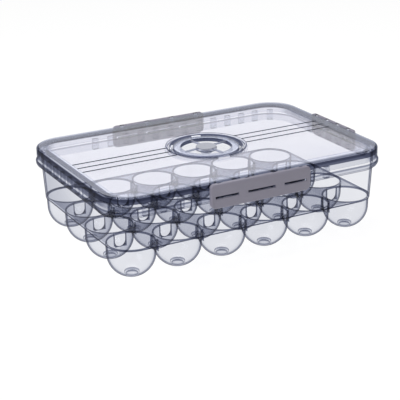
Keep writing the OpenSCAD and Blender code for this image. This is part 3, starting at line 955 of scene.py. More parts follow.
@dataclass
class Container:
    """The tray of cups with its wall, gutter, guide ribs and catches."""

    outline: Outline
    finishes: Finishes
    trees: Trees
    depths: TrayDepths = TrayDepths()
    columns: int = 6
    rows: int = 4
    pitch: float = 50.0
    cup_r: float = 24.3
    cup_flare: float = 0.4
    cup_wall: float = 1.4
    bowl_steps: int = 28
    deck_z: float = 35.4
    deck_t: float = 1.8
    mouth_r: float = 24.6
    mouth_h: float = 1.2
    collar_h: float = 0.9
    cut_over: float = 1.0
    foot_r: float = 6.8
    foot_w: float = 1.0
    foot_hollow_h: float = 2.2
    foot_edge: float = 0.2
    round_edge: float = 0.5
    boss_r: float = 7.3
    boss_z: float = 4.0
    between_z: float = 7.0
    web_w: float = 12.4
    web_h: float = 15.5
    web_half: float = 1.702
    foot_d: float = 25.6
    gutter_d: float = 27.6
    top_d: float = 28.0
    wall_t: float = 1.4
    wall_edge: float = 0.4
    wall_foot_edge: float = 0.3
    lean_d: float = 0.07
    lean_h: float = 1.6
    neck_d: float = 0.03
    neck_h: float = 1.0
    foot_z: float = 33.4
    top_z: float = 84.6
    gutter_r: float = 5.9
    gutter_t: float = 1.2
    gutter_z: float = 74.4
    gutter_steps: int = 10
    lip_z: float = 76.2
    lip_inset: float = 0.35
    rib_d: float = 30.3
    rib_w: float = 6.8
    rib_low: float = 69.7
    rib_high: float = 81.6
    rib_pitch: float = 18.4
    rib_edge: float = 0.5
    long_ribs: int = 12
    short_ribs: int = 6
    corner_turn: float = 31.0
    catch_d: float = 35.4
    catch_t: float = 2.0
    catch_rise: float = 0.4
    catch_gap: float = 1.0
    catch_edge: float = 0.4
    catch_places: tuple[Point2, ...] = ((-0.344, 0.23), (0.0, 0.275), (0.344, 0.23))

    @property
    def mid_z(self) -> float:
        """Height of the middle of a cup's round bottom, which the floor cuts at the foot ring."""
        return math.sqrt(self.cup_r ** 2 - self.foot_r ** 2)

    def flat_edge(self, radius: float, height: float) -> list[Point2]:
        """Gives the rounded edge where a flat at a height meets a side at a radius."""
        size, part = self.round_edge, self.round_edge * 0.3
        return [(radius - size, height), (radius - part, height - part), (radius, height - size)]

    def cup(self) -> Piece:
        """Turns one closed cup, with the hollow in the middle of its foot.

        Returns:
            The mesh object.
        """
        past_foot = 0.01
        start = math.degrees(math.asin(self.foot_r / self.cup_r) + past_foot) - 90
        bowl = arc(self.cup_r, start, 0, self.bowl_steps, (0.0, self.mid_z))
        inner, roof, edge = self.foot_r - self.foot_w, self.foot_hollow_h, self.foot_edge
        foot = [(0.0, roof), *self.flat_edge(inner, roof), (inner, edge), (inner + edge, 0.0),
                (self.foot_r - edge, 0.0)]
        top = self.deck_z - self.deck_t / 2
        skin = Skin("cup_source")
        skin.lathe(foot + bowl + [(self.cup_r + self.cup_flare, top), (0.0, top)])
        return skin.mesh_object()

    def hollow(self) -> Piece:
        """Turns the hollow of one cup over the raised floor, with a rounded mouth.

        Returns:
            The mesh object.
        """
        inner = self.cup_r - self.cup_wall
        start = math.degrees(math.asin(self.boss_r / inner)) - 90
        boss = [(0.0, self.boss_z), *self.flat_edge(self.boss_r, self.boss_z)]
        bowl = arc(inner, start, 0, self.bowl_steps, (0.0, self.mid_z))
        neck_z = self.deck_z - self.mouth_h
        collar_z = neck_z - self.collar_h
        flare = self.cup_flare * (collar_z - self.mid_z) / (neck_z - self.mid_z)
        widening = self.mouth_r - inner - self.cup_flare
        lip = [(self.mouth_r - widening * x, neck_z + self.mouth_h * y) for x, y in arc(1.0, 0, 90, 5)]
        over = self.deck_z + self.cut_over
        skin = Skin("hollow_source")
        skin.lathe(boss + bowl + [(inner + flare, collar_z)] + lip + [(self.mouth_r, over), (0.0, over)])
        return skin.mesh_object()

    def web(self) -> Piece:
        """Makes the web with a round lower edge that stands between two cups.

        Returns:
            The mesh object.
        """
        radius = self.web_w / 2
        top = self.deck_z - self.deck_t / 2
        loop = arc(radius, 180, 360, self.bowl_steps, (0.0, self.deck_z - self.web_h + radius))
        loop += [(radius, top), (-radius, top)]
        skin = Skin("web_source")
        skin.slab(*([(x, y, z) for x, z in loop] for y in (-self.web_half, self.web_half)))
        return skin.mesh_object()

    def deck(self) -> Piece:
        """Makes the closed plate that the cups are cut into.

        Returns:
            The mesh object.
        """
        loop = self.outline.loop(self.foot_d - self.wall_t / 2)
        skin = Skin("deck_source")
        skin.prism(loop, self.deck_z - self.deck_t, self.deck_z)
        return skin.mesh_object()

    def wall(self) -> Piece:
        """Makes the wall with the gutter round it.

        Returns:
            The mesh object.
        """
        middle = (self.gutter_d, self.gutter_z)
        low = self.gutter_z - self.gutter_r
        tip = self.gutter_d + self.gutter_r
        slope = (self.top_d - self.gutter_d) / (self.top_z - low)
        edge = self.wall_foot_edge
        section = [(self.foot_d - self.wall_t, self.foot_z), (self.foot_d - edge, self.foot_z),
                   (self.foot_d, self.foot_z + edge), (self.foot_d + self.lean_d, self.foot_z + self.lean_h),
                   (self.gutter_d - self.neck_d, low - self.neck_h)]
        section += arc(self.gutter_r, -90, 0, self.gutter_steps, middle)
        section += wall_end(tip, tip - self.gutter_t, self.lip_z, -self.wall_edge, self.lip_inset)
        section += arc(self.gutter_r - self.gutter_t, 0, -90, self.gutter_steps, middle)[:-1]
        section += [(self.gutter_d + slope * self.gutter_t, low + self.gutter_t)]
        section += wall_end(self.top_d, self.top_d - self.wall_t, self.top_z, -self.wall_edge)
        section += [(self.gutter_d - self.wall_t, low)]
        skin = Skin("wall_source")
        skin.ring(section, self.outline)
        return skin.mesh_object()

    def from_cup(self, place: Vector) -> Point2:
        """Gives how far a place lies from the nearest cup's axis, along X and along Y.

        Args:
            place: The face's centre in millimetres.

        Returns:
            The two distances.
        """
        spans = (self.outline.span_x, self.outline.span_y)
        dx, dy = (v + span - round((v + span) / self.pitch) * self.pitch for v, span in zip(place, spans))
        return dx, dy

    def depth(self, place: Vector, normal: Vector) -> float:
        """Gives the depth of a face of the tray.

        The margins under a millimetre allow for a face's centre, which lies inside its curve.

        Args:
            place: The face's centre.
            normal: The face's normal.

        Returns:
            The depth of its kind of face.
        """
        depths, side = self.depths, self.outline.distance(place)
        if place.z > self.deck_z + 0.3:
            if side > self.gutter_d + 0.6 and place.z > self.gutter_z - self.gutter_r - 0.5:
                return depths.lip if place.z > self.gutter_z else depths.gutter
            return depths.wall
        away = math.hypot(*self.from_cup(place))
        if place.z < self.boss_z + 0.1 and away < self.boss_r + 0.1:
            if abs(normal.z) > FLAT:
                return depths.foot_flat
            return depths.foot_hollow if away < self.foot_r else depths.foot_ring
        if place.z > self.foot_z - 0.1:
            if abs(normal.z) > LEVEL:
                return depths.deck if side < self.foot_d - self.wall_t else depths.deck_edge
            if away < self.mouth_r + 0.2:
                return depths.mouth
            return depths.wall_foot if side > self.foot_d - 0.1 else depths.deck_side
        return self.cup_depth(place, normal)

    def cup_depth(self, place: Vector, normal: Vector) -> float:
        """Gives the depth of a face of a cup or of a web under the deck.

        Args:
            place: The face's centre.
            normal: The face's normal.

        Returns:
            The depth of its kind of face.
        """
        dx, dy = self.from_cup(place)
        away = math.hypot(dx, dy)
        inside = away < self.cup_r - 0.3 and (dx * normal.x + dy * normal.y < 0 or normal.z > FLAT)
        if inside and place.z > self.deck_z - self.mouth_h - self.collar_h:
            return self.depths.collar
        narrow, wide = sorted((abs(dx), abs(dy)))
        if abs(dx) > abs(dy):
            within = abs(place.x) < self.outline.span_x
        else:
            within = abs(place.y) < self.outline.span_y
        on_web = away > self.cup_r - 1.0 and narrow <= self.web_w / 2 + 0.02
        near_middle = self.pitch / 2 - wide < self.web_half - 0.1
        if within and on_web and near_middle and place.z > self.deck_z - self.web_h - 0.1:
            return self.depths.web
        return self.depths.inside if inside else self.depths.outside

    def between(self, place: Vector, normal: Vector) -> float:
        """Gives the depth that shows from outside a cup, where cups stand behind one another.

        Args:
            place: The face's centre in millimetres.
            normal: The face's normal.

        Returns:
            The depth to add.
        """
        among = abs(place.x) <= self.outline.span_x and abs(place.y) <= self.outline.span_y
        on_bowl = self.between_z < place.z < self.deck_z - self.deck_t
        dx, dy = self.from_cup(place)
        outward = dx * normal.x + dy * normal.y > 0 and abs(normal.z) < STEEP
        return self.depths.between if among and on_bowl and outward else 0.0

    def tray(self) -> Piece:
        """Grows the tray from its parts.

        Returns:
            The mesh object.
        """
        parts = {"Cup": self.cup(), "Hollow": self.hollow(), "Web": self.web(), "Deck": self.deck(),
                 "Wall": self.wall()}
        made = grow(self.trees.tray, "egg_tray", {
            **parts, "Columns": self.columns, "Rows": self.rows, "Pitch": self.pitch * MM,
            "Material": self.finishes.tray})
        drop(*parts.values())
        mark_depth(made, self.depth)
        mark_depth(made, self.between, INWARD)
        return made

    def ribs(self) -> Piece:
        """Sets the guide ribs behind the lid's skirt, in rows that each half turn repeats.

        Returns:
            The mesh object.
        """
        half_w = self.rib_w / 2
        span_x, span_y = self.outline.span_x, self.outline.span_y
        skin = Skin("rib_source")
        loop = oblong(-half_w, -self.rib_d, half_w, self.wall_t / 2 - self.gutter_d,
                      [self.rib_edge, self.rib_edge, 0, 0])
        skin.prism(loop, self.rib_low, self.rib_high)
        rib = skin.mesh_object()
        rows = []
        for sign, turn in ((1, 0), (-1, 180)):
            plans = [(self.long_ribs, (half_w - span_x, -span_y), (self.rib_pitch, 0), turn),
                     (self.short_ribs, (-span_x, span_y - self.rib_pitch), (0, -self.rib_pitch), turn - 90),
                     (1, (-span_x, -span_y), (0, 0), turn - self.corner_turn)]
            for count, start, step, degrees in plans:
                rows.append(grow(self.trees.row, "guide_ribs", {
                    "Piece": rib, "Count": count,
                    "Start": [sign * start[0] * MM, sign * start[1] * MM, 0.0],
                    "Step": [sign * step[0] * MM, sign * step[1] * MM, 0.0],
                    "Turn": math.radians(degrees), "Material": self.finishes.rib}))
        drop(rib)
        made = joined("guide_ribs", rows)
        mark_depth(made, lambda place, normal:
                   self.depths.rib_end if abs(normal.z) > FLAT else self.depths.rib_side)
        return made

    def catches(self) -> Piece:
        """Sets the catches on the gutter's lip behind each closed clip, darkened partly as painted shade from
        the clip.

        Returns:
            The mesh object.
        """
        skin = Skin("gutter_catches")
        inner = self.gutter_d + self.gutter_r - self.gutter_t / 2
        top = self.lip_z + self.catch_rise
        for span, length, turn in self.outline.clip_sides():
            for place, share in self.catch_places:
                half = share * length / 2 - self.catch_gap
                middle = place * length
                loop = oblong(middle - half, -span - self.catch_d, middle + half, -span - inner,
                              [self.catch_edge, self.catch_edge, 0, 0])
                skin.prism(turned(loop, turn), top - self.catch_t, top)
        made = skin.mesh_object([self.finishes.tray])
        # Painted shade: the catches are darkened to stand for the shadow behind the closed clip
        mark_depth(made, lambda place, normal: self.depths.catch_shade)
        return made

    def build(self) -> None:
        """Makes the container's pieces."""
        settle(self.tray(), Body.CONTAINER, RecordSlot.SMOKY, "container")
        settle(self.ribs(), Body.CONTAINER, RecordSlot.SMOKY)
        settle(self.catches(), Body.CONTAINER, RecordSlot.SMOKY)


# The lid


class LidFinish(IntEnum):
    """The materials of the lid's shell, in the order of its mesh's slots."""

    RIM = 0
    PANEL = 1
    RIM_TOP = 2


@dataclass(frozen=True)
class LidDepths:
    """Depth that each kind of face of the lid adds to its own."""

    edge: float = 0.5
    inner_wall: float = 0.3
    skirt_inside: float = 1.0
    skirt_outside: float = 0.8
    ridge: float = 0.85


@dataclass
class Lid:
    """The lid with its rim, panel, ridges, clip rails and the seal in its channel."""

    outline: Outline
    finishes: Finishes
    depths: LidDepths = LidDepths()
    top_z: float = 90.0
    outer_d: float = 32.3
    rim_w: float = 11.8
    rim_t: float = 1.8
    skirt_t: float = 1.6
    skirt_z: float = 78.0
    inner_z: float = 82.0
    end_edge: float = 0.4
    rounding: float = 2.4
    rounding_steps: int = 6
    step_under: tuple[Point2, ...] = ((-0.6, 0.0), (0.0, 0.2))
    step_over: tuple[Point2, ...] = ((0.5, -0.15), (1.0, 0.0))
    panel_z: float = 89.0
    panel_t: float = 2.0
    hole_r: float = 40.8
    hole_steps: int = 96
    ridge_pitch: float = 12.7
    ridge_w: float = 1.2
    ridge_h: float = 0.6
    ridge_start: float = 42.9
    ridge_taper: float = 0.7
    ridge_sink: float = 0.05
    ridge_edge: float = 0.25
    seal_w: float = 5.8
    seal_low: float = 84.65
    seal_out_d: float = 30.6
    seal_gap: float = 0.03
    seal_edges: tuple[float, ...] = (1.0, 1.0, 0.3, 0.3)
    rib_w: float = 1.2
    rib_h: float = 2.2
    rib_gap: float = 0.1
    axle_d: float = 35.1
    axle_z: float = 87.5
    bar_r: float = 1.3
    bar_steps: int = 24
    rail_inset: float = 8.5
    rail_webs: int = 4
    web_l: float = 4.0
    web_from_bar: tuple[Point2, ...] = ((-0.4, 0.5), (0.7, 0.9))
    web_from_skirt: tuple[Point2, ...] = ((0.4, 0.8), (0.4, -1.4))
    band_z: float = 83.4

    @property
    def inner_d(self) -> float:
        """Distance of the rim's inner side outside the corner centres."""
        return self.outer_d - self.rim_w

    def shell(self) -> Piece:
        """Makes the lid's one shell: the rim is carried round, and the panel closes it.

        Returns:
            The mesh object.
        """
        inner_d = self.inner_d
        skirt_d = self.outer_d - self.skirt_t
        rib_d = self.seal_out_d - self.seal_w - self.rib_gap
        roof = self.top_z - self.rim_t
        step = [(inner_d + d, base + z) for base, places in (
            (self.panel_z, self.step_under), (self.top_z, self.step_over)) for d, z in places]
        middle = (self.outer_d - self.rounding, self.top_z - self.rounding)
        section = step + arc(self.rounding, 90, 0, self.rounding_steps, middle)
        section += [(self.outer_d, self.band_z)]
        section += wall_end(self.outer_d, skirt_d, self.skirt_z, self.end_edge)
        section += [(skirt_d, self.band_z), (skirt_d, roof), (rib_d, roof), (rib_d, roof - self.rib_h),
                    (rib_d - self.rib_w, roof - self.rib_h), (rib_d - self.rib_w, roof),
                    (inner_d + self.rim_t, roof)]
        section += wall_end(inner_d + self.rim_t, inner_d, self.inner_z, self.end_edge)
        section += [(inner_d, self.panel_z - self.panel_t)]
        marks = [LidFinish.RIM_TOP] * len(step) + [LidFinish.RIM] * (len(section) - 1 - len(step))
        skin = Skin("lid_shell")
        skin.ring(section, self.outline, marks, closed=False)
        self.close_panel(skin, step[0][0], self.panel_z, True)
        self.close_panel(skin, inner_d, self.panel_z - self.panel_t, False)
        bore = [(self.hole_r, self.panel_z - self.panel_t), (self.hole_r, self.panel_z)]
        skin.lathe(bore, self.hole_steps, closed=False)
        made = skin.mesh_object([self.finishes.rim, self.finishes.panel, self.finishes.rim_top])
        mark_depth(made, self.depth)
        mark_depth(made, self.inward, INWARD)
        return made

    def depth(self, place: Vector, normal: Vector) -> float:
        """Gives the depth of a face of the lid: the skirt's upper half and the panel's step are deep.

        Args:
            place: The face's centre in millimetres.
            normal: The face's normal.

        Returns:
            The depth to add.
        """
        away = self.outline.distance(place)
        skirt = away > self.outer_d - 1.2 and place.z > self.band_z
        step = away < self.inner_d + 1.2 and place.z > self.panel_z
        return self.depths.edge if abs(normal.z) <= STEEP and (skirt or step) else 0.0

    def inward(self, place: Vector, normal: Vector) -> float:
        """Gives the depth that shows from the side a face looks to.

        Args:
            place: The face's centre.
            normal: The face's normal.

        Returns:
            The depth on the inner wall and on both sides of the skirt over the container's wall.
        """
        skirt = self.outline.distance(place) - (self.outer_d - self.skirt_t)
        wall = self.outline.distance(place) - (self.inner_d + self.rim_t)
        if abs(wall) < 0.2 and self.inner_z + 0.3 < place.z < self.panel_z and abs(normal.z) < FLAT:
            return self.depths.inner_wall
        if place.z < self.band_z or abs(normal.z) > STEEP:
            return 0.0
        if abs(skirt) < 0.3:
            return self.depths.skirt_inside
        return self.depths.skirt_outside if skirt > 0.5 else 0.0

    def close_panel(self, skin: Skin, distance: float, height: float, upwards: bool) -> None:
        """Fills one face of the panel between the rim and the dial's hole.

        Args:
            skin: The skin that takes the face.
            distance: The rim's distance outside the corner centres.
            height: The face's height.
            upwards: Whether the face looks up.
        """
        work = bmesh.new()
        edges = []
        for loop in (self.outline.loop(distance), circle(self.hole_r, self.hole_steps)):
            verts = [work.verts.new((x, y, height)) for x, y in loop]
            edges += [work.edges.new(pair) for pair in zip(verts, verts[1:] + verts[:1])]
        normal = (0, 0, 1 if upwards else -1)
        bmesh.ops.triangle_fill(work, use_beauty=True, edges=edges, normal=normal)
        work.verts.index_update()
        points = [tuple(v.co) for v in work.verts]
        skin.add(points, [[v.index for v in face.verts] for face in work.faces], LidFinish.PANEL)
        work.free()

    def ridges(self) -> Piece:
        """Lays the three long ridges, each broken by the dial.

        Returns:
            The mesh object.
        """
        skin = Skin("panel_ridges")
        end = self.outline.span_x + self.inner_d
        half = self.ridge_w / 2
        low, high = self.panel_z - self.ridge_sink, self.panel_z + self.ridge_h
        for side in (-1, 0, 1):
            middle = side * self.ridge_pitch
            start = math.sqrt(self.ridge_start ** 2 - middle ** 2)
            section = fillet([(middle - half, low), (middle + half, low),
                              (middle + half * self.ridge_taper, high),
                              (middle - half * self.ridge_taper, high)],
                             [0, 0, self.ridge_edge, self.ridge_edge])
            skin.bead(section, start, end)
            skin.bead(section, -end, -start)
        made = skin.mesh_object([self.finishes.rim])
        mark_depth(made, lambda place, normal: self.depths.ridge)
        return made

    def rails(self) -> Piece:
        """Makes the bars that the clips snap on, with their webs.

        Returns:
            The mesh object.
        """
        skin = Skin("clip_rails")
        reach = self.axle_d - self.outer_d
        for span, length, turn in self.outline.clip_sides():
            axle_y = -span - self.axle_d
            bar = length - 2 * self.rail_inset
            rail = Skin("clip_rail")
            rail.bead(circle(self.bar_r, self.bar_steps, (axle_y, self.axle_z)), -bar / 2, bar / 2)
            web = [(axle_y + y, self.axle_z + z) for y, z in self.web_from_bar]
            web += [(axle_y + reach + y, self.axle_z - reach + z) for y, z in self.web_from_skirt]
            for i in range(self.rail_webs):
                middle = (i / (self.rail_webs - 1) - 0.5) * (bar - self.web_l)
                rail.bead(web, middle - self.web_l / 2, middle + self.web_l / 2)
            skin.add(turned(rail.points, turn), rail.faces)
        return skin.mesh_object([self.finishes.rail])

    def seal(self) -> Piece:
        """Makes the soft ring in the rim's channel, with rounded edges.

        Returns:
            The mesh object.
        """
        roof = self.top_z - self.rim_t - self.seal_gap
        inner = self.seal_out_d - self.seal_w
        skin = Skin("soft_seal")
        skin.ring(oblong(inner, self.seal_low, self.seal_out_d, roof, self.seal_edges), self.outline)
        return skin.mesh_object([self.finishes.seal])

    def build(self) -> None:
        """Makes the lid's pieces."""
        settle(self.shell(), Body.LID, RecordSlot.SMOKY, "lid")
        settle(self.ridges(), Body.LID, RecordSlot.SMOKY)
        settle(self.rails(), Body.LID, RecordSlot.SMOKY)
        settle(self.seal(), Body.LID, RecordSlot.SEAL, "seal_ring")


# The clips


@dataclass
class Clips:
    """The three hinged clips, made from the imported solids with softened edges."""

    finishes: Finishes
    edge: float = 1.4
    steps: int = 4
    merge: float = 2e-6
    flat: float = 1.0
    bend: float = 40.0
    sharp: float = 35.0
    end_w: float = 7.0
    foot_h: float = 1.0
    light: float = 0.3

    def weigh_edges(self, mesh: bpy.types.Mesh, body: Body) -> None:
        """Merges a clip's flat faces and says how far each edge of its outer face is rounded.

        Args:
            mesh: The clip's mesh.
            body: The body that it moves with.
        """
        work = bmesh.new()
        work.from_mesh(mesh)
        bmesh.ops.remove_doubles(work, verts=work.verts, dist=self.merge)
        bmesh.ops.dissolve_limit(
            work, angle_limit=math.radians(self.flat), verts=work.verts, edges=work.edges)
        weight = work.edges.layers.float.new("bevel_weight_edge")
        for face in work.faces:
            face.material_index = 0
        axis = 0 if body is Body.RIGHT_CLIP else 1
        front = max(abs(vert.co[axis]) for vert in work.verts)
        width = max(abs(vert.co[1 - axis]) for vert in work.verts)
        low = min(vert.co.z for vert in work.verts)
        for edge in work.edges:
            flush = all(abs(abs(vert.co[axis]) - front) < 10 * self.merge for vert in edge.verts)
            if flush and edge.calc_face_angle(0.0) > math.radians(self.bend):
                middle = (edge.verts[0].co + edge.verts[1].co) / 2
                at_end = abs(middle[1 - axis]) > width - self.end_w * MM
                edge[weight] = 1.0 if at_end or middle.z < low + self.foot_h * MM else self.light
        work.to_mesh(mesh)
        work.free()

    def soften(self, node: str, body: Body) -> None:
        """Copies a clip's solid, rounds its edges and settles it.

        Args:
            node: The clip's node.
            body: The body that it moves with.
        """
        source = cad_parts[node]
        mesh = source.data.copy()
        mesh.name = node + "_moulding"
        mesh.transform(source.matrix_world)
        mesh.materials.clear()
        mesh.materials.append(self.finishes.clip)
        made = add_object(node + "_moulding", mesh)
        self.weigh_edges(mesh, body)
        bevel = made.modifiers.new("edges", "BEVEL")
        bevel.width = self.edge * MM
        bevel.segments = self.steps
        bevel.limit_method = "WEIGHT"
        bevel.use_clamp_overlap = False
        finished = evaluated_mesh(made)
        made.modifiers.clear()
        made.data = finished
        tidy(made, self.sharp)
        settle(made, body, RecordSlot.CLIP, node)

    def build(self) -> None:
        """Makes the clips."""
        for body in (Body.FRONT_CLIP, Body.BACK_CLIP, Body.RIGHT_CLIP):
            self.soften(body.value, body)


# The date dial


@dataclass(frozen=True)
class DialDepths:
    """Depth that each kind of face of the dial adds to its own; at the hub's foot it is partly painted shade.
    """

    bezel_edge: float = 0.6
    bezel_inner: float = 0.35
    bezel_bore: float = 1.0
    wheel_edge: float = 0.35
    # The hub's foot: partly the drum's depth, partly painted shade where it stands on the wheel under the
    # knob
    hub_foot_shade: float = 0.75
    wheel_bore: float = 0.95
    spoke_side: float = 0.3


@dataclass
class DateDial:
    """The dial in the lid: its cup, bezel and lugs, and the turning wheel with its knob."""

    finishes: Finishes
    trees: Trees
    depths: DialDepths = DialDepths()
    fine_steps: int = 128
    gap: float = 0.03
    panel_z: float = 89.0
    panel_t: float = 2.0
    bezel_r: float = 42.6
    bezel_in_r: float = 37.0
    bezel_h: float = 0.8
    bezel_edge: float = 1.1
    bezel_inner_edge: float = 1.0
    bezel_gap: float = 0.02
    sleeve_t: float = 1.8
    cup_out_r: float = 40.65
    cup_in_r: float = 38.85
    cup_low: float = 83.0
    cup_bore_gap: float = 0.06
    floor_z: float = 84.4
    flange_w: float = 2.8
    flange_t: float = 1.4
    wheel_r: float = 34.8
    wheel_in_r: float = 26.5
    wheel_top: float = 88.7
    wheel_low: float = 84.8
    wheel_t: float = 1.2
    hub_r: float = 11.0
    hub_top: float = 87.7
    hub_wall: float = 1.4
    hub_foot_h: float = 0.9
    stem_r: float = 3.0
    stem_end_r: float = 2.2
    stem_low: float = 81.1
    stem_step_z: float = 82.7
    cap_t: float = 1.1
    cap_r: float = 10.6
    cap_gap: float = 0.01
    cap_edge: tuple[Point2, ...] = ((0.0, 0.4), (0.1, 0.15), (0.4, 0.0), (1.2, 0.02))
    cap_dish: tuple[Point2, ...] = ((0.6, 0.25), (0.3, 0.36), (0.0, 0.4))
    washer_r: float = 6.0
    washer_gap: float = 0.02
    washer_low: float = 81.5
    washer_edge: float = 0.15
    washer_steps: int = 64
    spoke_w: float = 2.4
    spokes_count: int = 4
    spoke_turn: float = 10.0
    spoke_drops: Point2 = (1.7, 0.1)
    spoke_roots: Point2 = (0.3, 0.6)
    spoke_edge: float = 0.3
    lug_count: int = 3
    lug_turn: float = 31.0
    lug_half: float = 10.0
    lug_gap: float = 0.4
    lug_root: float = 0.9
    lug_drops: Point2 = (3.2, 1.2)
    pointer_turn: float = 79.0
    pointer_half: float = 8.0
    pointer_root: float = 0.6
    pointer_gap: float = 0.3
    pointer_t: float = 0.7
    mark_count: int = 31
    mark_turn: float = math.degrees(0.05)
    mark_in_r: float = 29.4
    mark_out_r: float = 31.6
    mark_half: float = 0.22
    mark_h: float = 0.05

    def cup(self) -> Piece:
        """Turns the shallow cup that hangs in the panel's hole.

        Returns:
            The mesh object.
        """
        bore = self.stem_r + self.cup_bore_gap
        under = self.panel_z - self.panel_t - self.gap
        flange_r = self.cup_out_r + self.flange_w
        top = self.panel_z - self.gap
        outline = [(bore, self.cup_low), (self.cup_out_r, self.cup_low),
                   (self.cup_out_r, under - self.flange_t),
                   (flange_r, under - self.flange_t), (flange_r, under), (self.cup_out_r, under),
                   (self.cup_out_r, top), (self.cup_in_r, top), (self.cup_in_r, self.floor_z),
                   (bore, self.floor_z)]
        skin = Skin("dial_well")
        skin.lathe(fillet(outline, [0, 0.8, 0, 0.3, 0.2, 0, 0.1, 0.1, 0.3, 0], 3), self.fine_steps)
        return skin.mesh_object([self.finishes.dial])

    def bezel(self) -> Piece:
        """Turns the ring over the hole's edge, with its sleeve.

        Returns:
            The mesh object.
        """
        top = self.panel_z + self.bezel_h
        base = self.panel_z + self.bezel_gap
        foot = self.floor_z + self.gap
        sleeve_r = self.bezel_in_r + self.sleeve_t
        outline = [(self.bezel_in_r, foot), (sleeve_r, foot), (sleeve_r, base), (self.bezel_r, base),
                   (self.bezel_r, top), (self.bezel_r - self.bezel_edge, top),
                   (self.bezel_in_r + self.bezel_inner_edge, top), (self.bezel_in_r, top)]
        skin = Skin("dial_bezel_ring")
        skin.lathe(fillet(outline, [0.2, 0.2, 0, 0.1, 0.4, 0, 0, 0.4], 4), self.fine_steps)
        made = skin.mesh_object([self.finishes.dial])
        mark_depth(made, self.bezel_depth)
        mark_depth(made, self.bezel_inward, INWARD)
        return made

    def bezel_depth(self, place: Vector, normal: Vector) -> float:
        """Gives the depth of a face of the bezel: the rounded edges of its top are deep.

        Args:
            place: The face's centre in millimetres.
            normal: The face's normal; not used.

        Returns:
            The depth to add.
        """
        away = place.xy.length
        if away > self.bezel_r - self.bezel_edge and place.z > self.panel_z + 0.1:
            return self.depths.bezel_edge
        inner = away < self.bezel_in_r + self.bezel_inner_edge and place.z > self.panel_z
        return self.depths.bezel_inner if inner else 0.0

    def bezel_inward(self, place: Vector, normal: Vector) -> float:
        """Gives the depth that shows from the side a face looks to: the ring's bore is deep."""
        return self.depths.bezel_bore if self.looks_in(place, normal, self.bezel_in_r) else 0.0

    @staticmethod
    def looks_in(place: Vector, normal: Vector, radius: float) -> bool:
        """Tells whether a face at a radius, with its rounded edges, looks towards the dial's axis."""
        inward = normal.x * place.x + normal.y * place.y < 0
        return inward and math.hypot(place.x, place.y) < radius + 0.45

    def sector(self, name: str, radii: Point2, heights: Point2, half: float) -> Piece:
        """Makes a slice of a ring, centred on the +X axis.

        Args:
            name: The piece's name.
            radii: Its inner and its outer radius.
            heights: Its lower and its upper height.
            half: Half the angle that it covers, in degrees.

        Returns:
            The slice.
        """
        inner, outer = radii
        skin = Skin(name)
        skin.prism(arc(outer, -half, half, 10) + arc(inner, half, -half, 10), *heights)
        return skin.mesh_object()

    def wreath(self, name: str, source: Piece, count: int, turn: float, material: Material) -> Piece:
        """Sets copies of a piece evenly round the dial's axis and removes the piece.

        Args:
            name: The new object's name.
            source: The piece to copy.
            count: How many copies.
            turn: The first copy's angle, in degrees.
            material: Their material.

        Returns:
            The copies as one object.
        """
        made = grow(self.trees.wreath, name, {
            "Piece": source, "Count": count, "Turn": math.radians(turn), "Material": material})
        drop(source)
        return made

    def lugs(self) -> Piece:
        """Sets the index lugs inside the bezel.

        Returns:
            The mesh object.
        """
        radii = (self.wheel_r + self.lug_gap, self.bezel_in_r + self.lug_root)
        low, high = (self.wheel_top - drop_h for drop_h in self.lug_drops)
        source = self.sector("lug_source", radii, (low, high), self.lug_half)
        return self.wreath("dial_lugs", source, self.lug_count, self.lug_turn, self.finishes.lug)

    def wheel(self) -> Piece:
        """Turns the wheel's ring, hub and stem.

        Returns:
            The mesh object.
        """
        under = self.wheel_top - self.wheel_t
        core_r, core_z = self.hub_r - self.hub_wall, self.hub_top - self.hub_wall
        ring = [(self.wheel_in_r, self.wheel_low), (self.wheel_in_r + self.wheel_t, self.wheel_low),
                (self.wheel_in_r + self.wheel_t, under), (self.wheel_r - self.wheel_t, under),
                (self.wheel_r - self.wheel_t, self.wheel_low), (self.wheel_r, self.wheel_low),
                (self.wheel_r, self.wheel_top), (self.wheel_in_r, self.wheel_top)]
        hub = [(0.0, self.stem_low), (self.stem_end_r, self.stem_low), (self.stem_end_r, self.stem_step_z),
               (self.stem_r, self.stem_step_z), (self.stem_r, core_z), (core_r, core_z),
               (core_r, self.wheel_low), (self.hub_r, self.wheel_low),
               (self.hub_r, self.wheel_low + self.hub_foot_h), (self.hub_r, self.hub_top),
               (0.0, self.hub_top)]
        skin = Skin("date_wheel_ring")
        skin.lathe(fillet(ring, [0.15, 0.15, 0.3, 0.3, 0.15, 0.15, 0.4, 0.4], 3), self.fine_steps)
        skin.lathe(hub)
        made = skin.mesh_object([self.finishes.wheel])
        mark_depth(made, self.wheel_depth)
        mark_depth(made, self.wheel_inward, INWARD)
        return made

    def wheel_depth(self, place: Vector, normal: Vector) -> float:
        """Gives the depth of a face of the wheel: the ring's outer edge is deep; the hub's foot is partly
        painted shade.

        Args:
            place: The face's centre in millimetres.
            normal: The face's normal; not used.

        Returns:
            The depth to add.
        """
        away = place.xy.length
        if away > self.wheel_r - 0.3:
            return self.depths.wheel_edge
        # Painted shade: the lowest band of the hub's side is darkened as if shaded under the knob
        foot = abs(away - self.hub_r) < 0.2 and place.z < self.wheel_low + self.hub_foot_h
        return self.depths.hub_foot_shade if foot else 0.0

    def wheel_inward(self, place: Vector, normal: Vector) -> float:
        """Gives the depth that shows from the side a face looks to: the ring's bore is deep."""
        bore = self.looks_in(place, normal, self.wheel_in_r) and place.xy.length > self.wheel_in_r - 0.3
        return self.depths.wheel_bore if bore else 0.0

